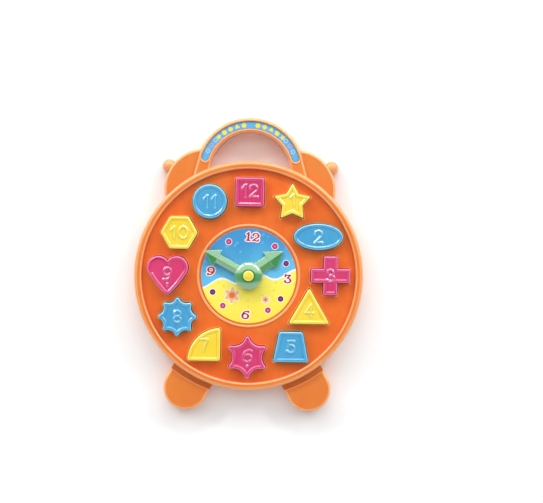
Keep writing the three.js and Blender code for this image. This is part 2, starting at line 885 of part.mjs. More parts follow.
// A push pin with a domed head, and a split barb that snaps out below the boss
function makePin() {
  const barbTop = bossBottom - runningGap;
  const foot = barbTop - pinBarbLength;
  const head = [];
  const steps = 5;
  for (let step = 0; step < steps; step += 1) {
    const turn = Math.PI / 2 * step / steps;
    const rise = pinHeadRise / 2 * (1 + Math.sin(turn));
    head.push([pinHeadRadius * Math.cos(turn), pinHeadBottom + rise]);
  }
  const pin = turnProfile([
    [0, foot],
    [pinRadius - pinBarbRise, foot],
    [pinRadius + pinBarbRise, barbTop],
    [pinRadius, barbTop],
    [pinRadius, pinHeadBottom],
    [pinHeadRadius, pinHeadBottom],
    ...head,
    [0, pinHeadBottom + pinHeadRise],
  ], 24);
  const slot = new THREE.BoxGeometry(pinSlotWidth, drumRadius, pinSlotDepth + cutOverrun);
  slot.translate(0, 0, foot + (pinSlotDepth - cutOverrun) / 2);
  return pin.subtract(manifoldOf(slot));
}

// Finishes
function plastic(color, roughness) {
  return new THREE.MeshStandardMaterial({ color, roughness, metalness: 0 });
}

const finishes = {
  orange: plastic('#ec7a33', 0.35),
  pink: plastic('#e23d80', 0.35),
  cyan: plastic('#4fb0e0', 0.35),
  yellow: plastic('#fbd93a', 0.35),
  green: plastic('#4fae63', 0.35),
  pinYellow: plastic('#f3d22c', 0.35),
  dialPrint: plastic('#4a9fda', 0.5),
  bandPrint: plastic('#53a9de', 0.5),
};

function makePiece(name, solid, finish) {
  const piece = new THREE.Mesh(geometryOfManifold(solid), finishes[finish]);
  piece.name = name;
  return piece;
}

function makeHand(name, solid, bottom, angle) {
  const hand = makePiece(name, solid, 'green');
  hand.position.z = bottom;
  hand.rotation.z = -radians(angle);
  return hand;
}

// The dial centre is the origin of this group, which is then moved so that the clock's own box is centred
const clock = new THREE.Group();
const top = archCentreReach + archOuterRadius;
const bottom = -footCentreReach * Math.cos(radians(footAngle)) - footRadius;
clock.position.y = -(top + bottom) / 2;

clock.add(makePiece('body_shell', makeBody(), 'orange'));
clock.add(makePiece('dial_label', makeDialLabel(), 'dialPrint'));
clock.add(makePiece('handle_label', makeHandleLabel(), 'bandPrint'));
clock.add(makeHand('hour_hand', makeHourHand(), lowerHubBottom, hourHandAngle));
clock.add(makeHand('minute_hand', makeMinuteHand(), upperHubBottom, minuteHandAngle));
clock.add(makePiece('centre_pin', makePin(), 'pinYellow'));

blockPlan.forEach((plan) => {
  const block = makePiece(plan.name, makeBlock(plan), plan.color);
  const place = blockPlace(plan);
  block.position.set(place.x, place.y, 0);
  clock.add(block);
});

export default clock;
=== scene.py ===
from math import asin, atan2, copysign, cos, pi, radians, sin, sqrt

import bmesh
import bpy
import numpy as np
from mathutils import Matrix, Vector


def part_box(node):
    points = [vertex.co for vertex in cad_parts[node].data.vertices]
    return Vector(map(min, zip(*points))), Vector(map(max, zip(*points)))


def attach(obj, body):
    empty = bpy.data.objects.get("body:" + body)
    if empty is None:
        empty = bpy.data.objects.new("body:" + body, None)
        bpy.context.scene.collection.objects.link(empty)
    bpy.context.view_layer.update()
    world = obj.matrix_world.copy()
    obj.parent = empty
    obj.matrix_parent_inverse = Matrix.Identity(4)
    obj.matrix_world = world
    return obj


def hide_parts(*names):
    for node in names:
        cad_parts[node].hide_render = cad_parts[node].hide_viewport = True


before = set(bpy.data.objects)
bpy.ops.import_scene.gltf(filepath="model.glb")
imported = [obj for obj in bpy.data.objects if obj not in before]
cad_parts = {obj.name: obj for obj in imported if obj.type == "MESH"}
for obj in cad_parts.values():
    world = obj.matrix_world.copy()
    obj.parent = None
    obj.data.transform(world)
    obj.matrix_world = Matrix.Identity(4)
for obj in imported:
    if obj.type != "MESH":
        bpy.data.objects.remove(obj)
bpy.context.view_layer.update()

# Learning clock toy: moulded body, twelve lift-out blocks, two hands on a pin, two printed stickers.
# Lengths are in millimetres from the dial centre and turn into metres when a mesh is made.

mm = 0.001


def levelsOf(node):
    return [corner.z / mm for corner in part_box(node)]


dialCentre = sum(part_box("centre_pin"), Vector()) / 2
plateTop, drumTop = levelsOf("dial_label")[0], levelsOf("body_shell")[1]


# Points in the plan are complex numbers: real to three o'clock, imaginary to twelve

def evenly(end, steps, last=1):
    # even steps from zero to the end, or to one step before it where last is 0
    return [end * step / steps for step in range(steps + last)]


def unit(turn):
    return complex(cos(turn), sin(turn))


def clockUnit(turn):
    return complex(sin(turn), cos(turn))


def direction(degrees):
    return unit(radians(degrees))


def clockPoint(reach, degrees):
    return reach * clockUnit(radians(degrees))


def dot(a, b):
    return (a.conjugate() * b).real


def cross(a, b):
    return (a.conjugate() * b).imag


def bend(start, corner, end, steps):
    # a soft curve from start to end that is pulled towards the corner
    return [start * (1 - t) ** 2 + corner * 2 * t * (1 - t) + end * t * t for t in evenly(1, steps)]


def makeEdge(start, end, bow):
    along = (end - start) / abs(end - start)
    edge = {"start": start, "along": along, "outward": along * -1j, "radius": 0}
    if bow:
        rise, side = abs(bow), copysign(1, bow)
        radius = (abs(end - start) ** 2 / 4 + rise ** 2) / (2 * rise)
        centre = (start + end) / 2 + edge["outward"] * side * (rise - radius)
        edge.update(radius=radius, side=side, centre=centre)
    return edge


def movedEdge(edge, margin):
    if edge["radius"]:
        return {**edge, "radius": edge["radius"] + edge["side"] * margin}
    return {**edge, "start": edge["start"] + edge["outward"] * margin}


def meetEdges(first, second, near):
    if not first["radius"] and not second["radius"]:
        reach = cross(second["start"] - first["start"], second["along"]) / cross(first["along"], second["along"])
        return first["start"] + first["along"] * reach
    if first["radius"] and second["radius"]:
        between = second["centre"] - first["centre"]
        ahead = between / abs(between)
        reach = (abs(between) ** 2 + first["radius"] ** 2 - second["radius"] ** 2) / (2 * abs(between))
        foot = first["centre"] + ahead * reach
        step = ahead * 1j * sqrt(max(0, first["radius"] ** 2 - reach ** 2))
    else:
        line, arc = (second, first) if first["radius"] else (first, second)
        foot = line["start"] + line["along"] * dot(line["along"], arc["centre"] - line["start"])
        step = line["along"] * sqrt(max(0, arc["radius"] ** 2 - abs(foot - arc["centre"]) ** 2))
    return min((foot + step, foot - step), key=lambda point: abs(point - near))


def pointOn(edge, start, distance):
    if not edge["radius"]:
        return start + edge["along"] * distance
    return edge["centre"] + (start - edge["centre"]) * unit(edge["side"] * distance / edge["radius"])


def lengthOn(edge, start, end):
    if not edge["radius"]:
        return abs(end - start)
    before, after = start - edge["centre"], end - edge["centre"]
    turn = atan2(cross(before, after), dot(before, after))
    return edge["radius"] * (edge["side"] * turn % (2 * pi))


def cornerOutline(corners):
    # a corner: its place and rounding, and the bow and steps of the edge that leaves it; gives ring(margin)
    plain = {"round": 0, "hollow": False, "share": 1, "turns": 6, "bow": 0, "steps": 1}
    corners = [{**plain, **corner} for corner in corners]
    following = corners[1:] + corners[:1]
    edges = [makeEdge(item["at"], after["at"], item["bow"]) for item, after in zip(corners, following)]

    def reachOf(item, margin):
        growth = -margin if item["hollow"] else margin
        reach = item["round"] + growth * (item["share"] if growth > 0 else 1)
        return max(cornerRounds["least"], reach) if item["round"] else 0

    def ring(margin):
        moved = [movedEdge(edge, margin) for edge in edges]
        places = [meetEdges(moved[i - 1], moved[i], item["at"]) for i, item in enumerate(corners)]
        reaches = [reachOf(item, margin) for item in corners]
        points = []
        for i, item in enumerate(corners):
            here, reach, steps, after = places[i], reaches[i], item["steps"], (i + 1) % len(corners)
            if reach:
                arrival = lengthOn(moved[i - 1], places[i - 1], here)
                start = pointOn(moved[i - 1], places[i - 1], arrival - reach)
                points += bend(start, here, pointOn(moved[i], here, reach), item["turns"])
            else:
                points.append(here)
            clear = lengthOn(moved[i], here, places[after]) - reach - reaches[after]
            points += [pointOn(moved[i], here, reach + clear * step / steps) for step in range(1, steps)]
        return points

    return ring


def ovalOutline(halfLength, halfWidth, steps=96):
    return lambda margin: [complex((halfLength + margin) * cos(t), (halfWidth + margin) * sin(t))
                           for t in evenly(2 * pi, steps, 0)]


def movedOutline(outline, place):
    return lambda margin: [point + place for point in outline(margin)]


def turnedOutline(outline, degrees):
    return lambda margin: [point * direction(degrees) for point in outline(margin)]


# Meshes are made from shapes, which are (points, faces) in millimetres

def loft(loops, hoop=False):
    # a closed skin over loops of as many points each, or a hoop, whose last loop meets its first
    count = len(loops[0])
    points = [point for loop in loops for point in loop]
    faces = []
    for band in range(len(loops) - (not hoop)):
        low, high = band * count, (band + 1) % len(loops) * count
        faces += [(low + i, low + (i + 1) % count, high + (i + 1) % count, high + i) for i in range(count)]
    if not hoop:
        faces += [tuple(reversed(range(count))), tuple(range(len(points) - count, len(points)))]
    return points, faces


def raised(point, height):
    return point.real, point.imag, height


def carried(outline, profile, hoop=False):
    # a profile of margins and heights, carried along an outline
    return loft([[raised(point, height) for point in outline(margin)] for margin, height in profile], hoop)


def turned(profile, segments=96, centre=0, hoop=False):
    # a profile of radii and heights, turned about a centre
    return carried(movedOutline(ovalOutline(0, 0, segments), centre), profile, hoop)


def cylinder(radius, low, high, segments, centre=0):
    return turned([(radius, low), (radius, high)], segments, centre)


def roundedEdge(margin, top, reach, steps=8):
    # quarter round that leads a wall up to its top, inward, or outward where the reach is below zero
    return [(margin - reach * (1 - cos(t)), top - abs(reach) * (1 - sin(t)))
            for t in evenly(pi / 2, steps)]


def softStep(start, end, reach, steps=4):
    # straight slope between two level runs, with both of its corners rounded
    start, end = complex(*start), complex(*end)
    lead = (end - start) / abs(end - start) * reach
    level = copysign(reach, (end - start).real)
    points = bend(start - level, start, start + lead, steps) + bend(end - lead, end, end + level, steps)
    return [(point.real, point.imag) for point in points]


def block3(low, high):
    xs, ys, zs = zip(low, high)
    points = [(x, y, z) for z in zs for y in ys for x in xs]
    return points, [(0, 2, 3, 1), (4, 5, 7, 6), (0, 1, 5, 4), (2, 6, 7, 3), (0, 4, 6, 2), (1, 3, 7, 5)]


def addObject(name, data):
    made = bpy.data.objects.new(name, data)
    bpy.context.scene.collection.objects.link(made)
    return made


def makeObject(name, shape, closed=True):
    points, faces = shape
    mesh = bpy.data.meshes.new(name)
    mesh.from_pydata([(dialCentre.x + x * mm, dialCentre.y + y * mm, z * mm) for x, y, z in points], [], faces)
    if closed:
        work = bmesh.new()
        work.from_mesh(mesh)
        bmesh.ops.remove_doubles(work, verts=work.verts, dist=0.001 * mm)
        bmesh.ops.recalc_face_normals(work, faces=work.faces)
        work.to_mesh(mesh)
        work.free()
    return addObject(name, mesh)


def settle(piece):
    # what the modifiers show becomes the mesh
    graph = bpy.context.evaluated_depsgraph_get()
    mesh = bpy.data.meshes.new_from_object(piece.evaluated_get(graph))
    piece.modifiers.clear()
    piece.data = mesh
    return piece


def combine(target, operation, *tools):
    # the tools, objects or shapes, are used up
    for tool in tools:
        tool = makeObject("tool", tool) if isinstance(tool, tuple) else tool
        cut = target.modifiers.new("combine", "BOOLEAN")
        cut.operation, cut.solver, cut.object = operation, "MANIFOLD", tool
        settle(target)
        bpy.data.objects.remove(tool)
    return target


def joinPieces(name, *pieces):
    work = bmesh.new()
    for piece in pieces:
        work.from_mesh(piece.data)
        bpy.data.objects.remove(piece)
    mesh = bpy.data.meshes.new(name)
    work.to_mesh(mesh)
    work.free()
    return addObject(name, mesh)


edgeMarks = {"least": 0.004, "corner": 0.9, "level": 0.9999, "leastArea": 1e-10}


def markEdges(piece, leans, marks=edgeMarks):
    # attribute "edge": how strongly a face rounds an outer edge (above 0) or bends into a hollow (below 0), per
    # millimetre; the plastics paint a highlight on the first and shade in the second
    work = bmesh.new()
    work.from_mesh(piece.data)
    bends = np.zeros(len(work.faces), np.float32)
    for edge in work.edges:
        angle = edge.calc_face_angle_signed(0) if len(edge.link_faces) == 2 else 0
        if marks["least"] < abs(angle) < marks["corner"]:  # sharper than this is a corner, not a rounding
            turn = angle * edge.calc_length()
            for face in edge.link_faces:
                if abs(face.normal.z) < marks["level"]:  # level faces beside a rounding stay plain
                    bends[face.index] += turn / max(face.calc_area(), marks["leastArea"]) / 2 * mm
    if leans:  # only where a rounding leans this far from level
        away = np.array([1 - face.normal.z for face in work.faces])
        bends = np.where(bends > 0, bends * np.interp(away, leans, (0, 1)), bends).astype(np.float32)
    work.free()
    attribute = piece.data.attributes.new("edge", "FLOAT", "FACE")
    attribute.data.foreach_set("value", np.clip(bends, -1, 1))


# Node trees, for materials and for Geometry Nodes

def operator(operation, swapped=False):
    def result(self, other):
        return self.graph.maths(operation, *((other, self) if swapped else (self, other)))
    return result


class Wire:
    # a node's output, which can be used in sums
    def __init__(self, graph, socket):
        self.graph, self.socket = graph, socket

    def maths(self, operation, *values):
        return self.graph.maths(operation, self, *values)

    def between(self, low, high):
        # 0 below low, 1 above high, smooth between
        sockets = {"Value": self, "From Min": low, "From Max": high}
        return self.graph.add("MapRange", sockets, interpolation_type="SMOOTHSTEP")

    __add__ = __radd__ = operator("ADD")
    __mul__ = __rmul__ = operator("MULTIPLY")
    __sub__, __rsub__ = operator("SUBTRACT"), operator("SUBTRACT", True)
    __truediv__, __pow__ = operator("DIVIDE"), operator("POWER")


class Graph:
    def __init__(self, tree):
        self.tree = tree
        tree.nodes.clear()

    def add(self, kind, sockets=None, out=0, **settings):
        # a node and what goes into it
        families = ("GeometryNode", "ShaderNode", "") if self.tree.type == "GEOMETRY" else ("ShaderNode",)
        node = self.tree.nodes.new(next(family + kind for family in families if hasattr(bpy.types, family + kind)))
        for name, value in settings.items():
            setattr(node, name, value)
        for name, value in (sockets or {}).items():
            for item in value if isinstance(value, list) else [value]:
                if isinstance(item, Wire):
                    self.tree.links.new(item.socket, node.inputs[name])
                else:
                    node.inputs[name].default_value = item
        return Wire(self, node.outputs[out]) if node.outputs else node

    def maths(self, operation, *values):
        return self.add("Math", dict(enumerate(values)), operation=operation)

    def mix(self, factor, first, second):
        # the colours are wires, or plain as they are seen on a screen
        first, second = (rgb(*colour) if isinstance(colour, tuple) else colour for colour in (first, second))
        return self.add("Mix", {0: factor, 6: first, 7: second}, 2, data_type="RGBA")

    def paint(self, colour, *coats):
        # a coat is a mask and the colour that shows where the mask is 1
        for mask, tone in coats:
            colour = self.mix(mask, colour, tone)
        return colour


def makeTree(name, inputs):
    # a Geometry Nodes tree: its graph, the wires of its named inputs, and what runs it
    tree = bpy.data.node_groups.new(name, "GeometryNodeTree")
    graph = Graph(tree)

    def addSocket(label, way, kind):
        return tree.interface.new_socket(label, in_out=way, socket_type="NodeSocket" + kind).identifier

    addSocket("Geometry", "INPUT", "Geometry")
    keys = {label: addSocket(label, "INPUT", "Int" if isinstance(value, int) else "Float")
            for label, value in inputs.items()}
    addSocket("Geometry", "OUTPUT", "Geometry")
    given = tree.nodes.new("NodeGroupInput")

    def run(shape, material, points):
        # sets what the tree makes on each of the points, and turns it into a plain mesh
        shape = graph.add("RealizeInstances", {"Geometry": shape})
        if material:
            shape = graph.add("SetMaterial", {"Geometry": shape, "Material": material})
        graph.add("NodeGroupOutput", {"Geometry": shape})
        holder = makeObject(name, (points, []), False)
        maker = holder.modifiers.new(name, "NODES")
        maker.node_group = tree
        for label, value in inputs.items():
            maker[keys[label]] = value
        return settle(holder)

    return graph, {label: Wire(graph, given.outputs[label]) for label in ("Geometry", *inputs)}, run


def rgb(red, green, blue):
    # a colour as it is seen on a screen, 0 to 255, as the shader wants it
    linear = []
    for value in (red, green, blue):
        share = value / 255
        linear.append(share / 12.92 if share <= 0.04045 else ((share + 0.055) / 1.055) ** 2.4)
    return (*linear, 1)


def startMaterial(name):
    material = bpy.data.materials.new(name)
    material.use_nodes = True
    return material, Graph(material.node_tree)


def finishMaterial(graph, sockets):
    graph.add("OutputMaterial", {"Surface": graph.add("BsdfPrincipled", sockets)})


def bumps(graph, strength, depth, height):
    return graph.add("Bump", {"Strength": strength, "Distance": depth * mm, "Height": height})


def dialPlace(graph, turn=0):
    # the surface point in millimetres from the dial centre
    place = graph.add("TexCoord", out="Object")
    centre = (-dialCentre.x / mm, -dialCentre.y / mm, 0)
    place = graph.add("Mapping", {"Vector": place, "Scale": (1 / mm,) * 3, "Location": centre})
    return graph.add("Mapping", {"Vector": place, "Rotation": (0, 0, radians(turn))}) if turn else place


def noiseAt(graph, place, scale, detail=2, stretch=None, turn=0):
    if stretch:
        place = graph.add("Mapping", {"Vector": place, "Scale": stretch, "Rotation": (0, 0, turn)})
    return graph.add("TexNoise", {"Vector": place, "Scale": scale, "Detail": detail})


def scuffMask(graph, place, turn, amount):
    # long thin rub marks that run one way, in patches
    streaks = noiseAt(graph, place, *scuffMarks["streak"], turn)
    patches = noiseAt(graph, place, *scuffMarks["patch"])
    low, high = scuffMarks["streakFrom"]
    return streaks.between(low - amount, high - amount) * patches.between(*scuffMarks["patchFrom"])


# scale and detail of each noise, and how it is stretched and turned
plasticNoise = {"cloud": (0.03, 3), "flow": (0.16, 4, (1, 0.35, 1), 0.6), "grain": (1.1, 3), "speck": (9, 2)}
scuffMarks = {"streak": (1, 1, (0.09, 2.6, 0.4)), "patch": (0.035, 2), "streakFrom": (0.70, 0.80),
              "patchFrom": (0.48, 0.62), "turns": ((0.5, 0.02), (-0.9, 0))}
plasticBase = {
    "cloudTone": 0.7, "flowTone": 0.3, "toneFrom": (0.32, 0.68), "sheenBend": (0.06, 0.45), "sheenShare": 0.7,
    "creaseShadeBend": (0.15, 0.8), "creaseShadeShare": 0.4, "scuffShare": 0.1, "grainRise": 0.6, "speckRise": 0.12,
    "scuffRise": -0.25, "bump": 0.35, "bumpDepth": 0.06, "rough": 0.3, "grainRough": 0.08, "cloudRough": 0.06,
    "scuffRough": 0.18, "gloss": 1.5, "skin": 0.8, "skinRough": 0.1, "scuffSkin": 0.3, "cloudSkin": 0.1,
    "glow": 0.3, "glowReach": 2.4, "glowTone": (1, 0.5, 0.35),
}


def makePlastic(name, look):
    material, graph = startMaterial(name)
    place = dialPlace(graph)
    edge = graph.add("Attribute", None, "Fac", attribute_name="edge")
    cloud, flow, grain, speck = (noiseAt(graph, place, *settings) for settings in plasticNoise.values())
    scuffs, crossing = (scuffMask(graph, place, *settings) for settings in scuffMarks["turns"])
    scuffs = scuffs.maths("MAXIMUM", crossing)
    tone = (cloud * look["cloudTone"] + flow * look["flowTone"]).between(*look["toneFrom"])
    colour = graph.mix(tone, look["deep"], look["main"])
    if "outer" in look:  # painted light: the lobes outside the drum are lighter, as if lit more than the sunken plate
        flat = graph.add("VectorMath", {0: place, 1: (1, 1, 0)}, operation="MULTIPLY")
        reach = graph.add("VectorMath", {0: flat}, "Value", operation="LENGTH")
        litLobes = graph.mix(tone, look["outerLitDeep"], look["outer"])
        colour = graph.mix(reach.between(*look["outerLitFrom"]), colour, litLobes)
    # painted shade: a darker tone where the surface bends into a crease
    creaseShade = (edge * -1).between(*look["creaseShadeBend"])
    # painted highlight: the pale edge tone on outer roundings; the same tone on scuffs is wear
    colour = graph.paint(colour, (edge.between(*look["sheenBend"]) * look["sheenShare"], look["edge"]),
                         (creaseShade * look["creaseShadeShare"], look["creaseShade"]),
                         (scuffs * look["scuffShare"], look["edge"]))
    height = grain * look["grainRise"] + speck * look["speckRise"] + scuffs * look["scuffRise"]
    finishMaterial(graph, {
        "Base Color": colour, "IOR": look["gloss"], "Coat IOR": look["gloss"], "Coat Roughness": look["skinRough"],
        "Roughness": look["rough"] + (grain - 0.5) * look["grainRough"] + (cloud - 0.5) * look["cloudRough"]
        + scuffs * look["scuffRough"],
        "Normal": bumps(graph, look["bump"], look["bumpDepth"], height),
        "Coat Weight": look["skin"] - scuffs * look["scuffSkin"] - (cloud - 0.5) * look["cloudSkin"],
        "Subsurface Weight": look["glow"], "Subsurface Radius": look["glowTone"],
        "Subsurface Scale": look["glowReach"] * mm,
    })
    return material


def finishPrint(graph, look, colour, spread, height):
    finishMaterial(graph, {
        "Base Color": colour, "Roughness": look["rough"] + spread * look["roughSpread"],
        "Normal": bumps(graph, look["bump"], look["bumpDepth"], height),
        "Coat Weight": look["skin"], "Coat Roughness": look["skinRough"]})


inkLook = {"mottle": (2.2, 4), "grain": (14, 2), "wornFrom": (0.35, 0.7), "wornShare": 0.5, "rough": 0.34,
           "roughSpread": 0.1, "bump": 0.15, "bumpDepth": 0.02, "skin": 0.3, "skinRough": 0.12}


def makeInk(name, colour, worn, look=inkLook):
    material, graph = startMaterial(name)
    place = dialPlace(graph)
    mottle, grain = (noiseAt(graph, place, *look[key]) for key in ("mottle", "grain"))
    tone = graph.mix(mottle.between(*look["wornFrom"]) * look["wornShare"], colour, worn)
    finishPrint(graph, look, tone, mottle, grain)
    return material


# edge is a pale tone, a painted highlight on roundings and wear where scuffed
plasticLooks = {
    "orange": {"main": (240, 119, 45), "deep": (232, 106, 38), "edge": (255, 188, 128), "creaseShade": (206, 50, 12),
               "outer": (234, 137, 62), "outerLitDeep": (229, 127, 54), "outerLitFrom": (99, 103), "skin": 0.5},
    "pink": {"main": (222, 66, 122), "deep": (214, 52, 108), "edge": (238, 136, 196), "creaseShade": (176, 14, 62),
             "sheenShare": 0.9},
    "cyan": {"main": (82, 172, 218), "deep": (68, 161, 210), "edge": (142, 220, 254), "creaseShade": (34, 118, 178),
             "sheenShare": 0.9},
    "yellow": {"main": (255, 224, 76), "deep": (253, 215, 56), "edge": (255, 246, 136), "creaseShade": (234, 162, 10),
               "sheenShare": 0.85},
    "green": {"main": (76, 168, 92), "deep": (62, 156, 80), "edge": (166, 216, 180), "creaseShade": (20, 112, 44),
              "rough": 0.2, "bump": 0.2, "gloss": 2.2},
    "pinYellow": {"main": (255, 230, 78), "deep": (251, 220, 58), "edge": (255, 244, 124),
                  "creaseShade": (226, 166, 14)},
}
plastics = {name: makePlastic(name + "Plastic", {**plasticBase, **look}) for name, look in plasticLooks.items()}
inkTones = {
    "red": ((214, 18, 26), (200, 12, 24)),
    "darkRed": ((184, 6, 28), (168, 4, 26)),
    "pink": ((184, 30, 88), (194, 44, 98)),
    "purple": ((104, 6, 90), (112, 14, 98)),
    "white": ((248, 246, 250), (232, 236, 246)),
    "yellow": ((252, 228, 60), (246, 214, 44)),
    "paleBlue": ((176, 214, 236), (150, 198, 228)),
    "palePink": ((196, 160, 204), (178, 150, 200)),
    "pinkPale": ((224, 96, 148), (230, 112, 160)),
    "purplePale": ((132, 60, 122), (142, 74, 134)),
}
inks = {name: makeInk(name + "Ink", *tones) for name, tones in inkTones.items()}
print("materials ready:", len(plastics) + len(inks))


def finishPiece(piece, body, node, material, degrees, leans=None):
    # edges below so many degrees are shaded smooth
    piece.data.shade_smooth()
    piece.data.set_sharp_from_angle(angle=radians(degrees))
    piece.modifiers.new("evenNormals", "WEIGHTED_NORMAL").keep_sharp = True
    settle(piece)
    piece.data.materials.clear()
    piece.data.materials.append(material)
    markEdges(piece, leans)
    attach(piece, body)
    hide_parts(node)
    return piece


# Blocks and the outlines that they share with their wells

blockSizes = {"height": 22, "wall": 1.8, "roof": 2, "draft": 0.3, "edgeRound": 1.4, "rimWidth": 2.3,
              "rimChamfer": 1.3, "faceDrop": 0.8, "footRound": 0.4, "rimSoftness": 0.4}
cornerRounds = {"soft": 3, "triangle": 3.6, "hexagon": 2.2, "heartTip": 5, "keen": 1.8, "notch": 1, "least": 0.3}


def polygonOutline(places, rounding):
    return cornerOutline([{"at": at, "round": cornerRounds[rounding]} for at in places])


def keenCorner(at, hollow):
    return {"at": at, "round": cornerRounds["notch" if hollow else "keen"], "hollow": hollow, "share": 0.25}


def starOutline(reach, notchShare):
    middle = reach * (1 - cos(pi / 5)) / 2
    reaches = [reach, reach * notchShare] * 5
    return cornerOutline([keenCorner(clockPoint(reaches[i], -36 * i) - 1j * middle, i % 2 == 1) for i in range(10)])


def plusOutline(span, arm):
    arms = ((span / 2, -arm / 2, False), (span / 2, arm / 2, False), (arm / 2, arm / 2, True))
    return cornerOutline([keenCorner(complex(x, y) * 1j ** i, hollow) for i in range(4) for x, y, hollow in arms])


def softStarOutline(points, reach, valleyReach, tipRound, steps=14):
    # round tips that run smoothly into hollow arcs, at every margin
    half = pi / points
    tipCentre = reach - tipRound
    across = valleyReach ** 2 + tipCentre ** 2 - 2 * valleyReach * tipCentre * cos(half)
    hollowRound = (across - tipRound ** 2) / (2 * (tipRound - valleyReach + tipCentre * cos(half)))
    hollow = (valleyReach + hollowRound) * clockUnit(half)
    axes = [unit(2 * half * i) for i in range(points)]

    def fan(radius, turn, first, last):
        return [radius * clockUnit(turn * (1 - 2 * step / steps)) for step in range(first, last)]

    def ring(margin):
        tip, bend = max(cornerRounds["least"], tipRound + margin), hollowRound - margin
        centre = hollow.imag - sqrt((tip + bend) ** 2 - hollow.real ** 2)
        turn = atan2(hollow.real, hollow.imag - centre)
        tipArc = [1j * centre + point for point in fan(tip, turn, 0, steps + 1)]
        hollowArc = [unit(half) * (1j * abs(hollow) - point) for point in fan(bend, half - turn, 1, steps)]
        return [point * axis for axis in axes for point in tipArc + hollowArc]

    return ring


def quarterOutline(radius):
    half = radius / 2
    bow = radius * (1 - sqrt(0.5))
    return cornerOutline([
        {"at": complex(half, -half), "round": cornerRounds["soft"]},
        {"at": complex(half, half), "round": cornerRounds["soft"], "bow": bow, "steps": 32},
        {"at": complex(-half, -half), "round": cornerRounds["soft"]},
    ])


def heartOutline(width, height, lobe, sideBow):
    centre = complex(width / 2 - lobe, height / 2 - lobe)
    tip = complex(0, -height / 2)
    span = centre - tip
    lean = atan2(span.imag, span.real) - asin(lobe / abs(span))
    side = tip + unit(lean) * sqrt(abs(span) ** 2 - lobe ** 2)
    notch = complex(0, centre.imag + sqrt(lobe ** 2 - centre.real ** 2))
    outward = (notch - side) / abs(notch - side) * -1j
    bow = lobe + dot(outward, centre - (side + notch) / 2)
    return cornerOutline([
        {"at": tip, "round": cornerRounds["heartTip"], "turns": 16, "bow": sideBow, "steps": 12},
        {"at": side, "bow": bow, "steps": 36},
        {"at": notch, "round": cornerRounds["notch"], "hollow": True, "bow": bow, "steps": 36},
        {"at": complex(-side.real, side.imag), "bow": sideBow, "steps": 12},
    ])


def hexagonOutline(flats):
    return polygonOutline([clockPoint(flats / sqrt(3), 90 - 60 * i) for i in range(6)], "hexagon")


def planBlock(node, number, colour, outline, lift):
    # the outline is moved so that its box is the CAD node's box
    low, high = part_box(node)
    across, upward = zip(*[(point.real, point.imag) for point in outline(0)])
    middle = complex(min(across) + max(across), min(upward) + max(upward)) / 2
    place = complex((low.x + high.x) / 2 - dialCentre.x, (low.y + high.y) / 2 - dialCentre.y) / mm - middle
    return node, number, colour, movedOutline(outline, place), place, lift


blockPlan = [planBlock(*item) for item in (
    # node, number, colour, outline, and how far its numeral sits from the middle, in shares of its height
    ("block_12_square", "12", "pink",
     polygonOutline([-13.6 - 13.6j, 13.6 - 13.6j, 13.6 + 13.6j, -13.6 + 13.6j], "soft"), 0.04),
    ("block_1_star", "1", "yellow", starOutline(18.5, 0.55), 0.02),
    ("block_2_oval", "2", "cyan", ovalOutline(22.95, 12.5), 0),
    ("block_3_plus", "3", "pink", plusOutline(36.6, 13.5), 0),
    ("block_4_triangle", "4", "yellow", polygonOutline([-19.8 - 17.3j, 19.8 - 17.3j, 17.3j], "triangle"), -0.14),
    ("block_5_trapezoid", "5", "cyan",
     polygonOutline([-16.8 - 14.3j, 16.8 - 14.3j, 11.1 + 14.3j, -11.1 + 14.3j], "soft"), 0),
    ("block_6_six_point_star", "6", "pink", softStarOutline(6, 19.65, 14, 2.2), 0.03),
    ("block_7_quarter_circle", "7", "yellow", quarterOutline(31), -0.02),
    ("block_8_eight_point_star", "8", "cyan", softStarOutline(8, 18, 14.5, 2.2), 0),
    ("block_9_heart", "9", "pink", heartOutline(38.4, 38, 10.8, 0.8), 0.06),
    ("block_10_hexagon", "10", "yellow", hexagonOutline(30.6), 0),
    ("block_11_disc", "11", "cyan", ovalOutline(16.1, 16.1), 0),
)]


def blockShape(outline, sizes=blockSizes):
    side = -sizes["draft"]
    face = side - sizes["rimWidth"]
    top = sizes["height"]
    foot = sizes["footRound"]
    return carried(outline, [
        (-sizes["wall"] - sizes["draft"], top - sizes["faceDrop"] - sizes["roof"]),
        (-sizes["wall"], 0),
        (-foot, 0),
        (0, foot),
        *roundedEdge(side, top, sizes["edgeRound"]),
        *softStep((face, top), (face - sizes["rimChamfer"], top - sizes["faceDrop"]), sizes["rimSoftness"]),
    ])


# Numerals are drawn with a pen: each digit is a few strokes in a box one high

def arc(centreX, centreY, radiusX, radiusY, start, end, steps=22):
    turns = [radians(start + (end - start) * step / steps) for step in range(steps + 1)]
    return [complex(centreX + radiusX * cos(t), centreY + radiusY * sin(t)) for t in turns]


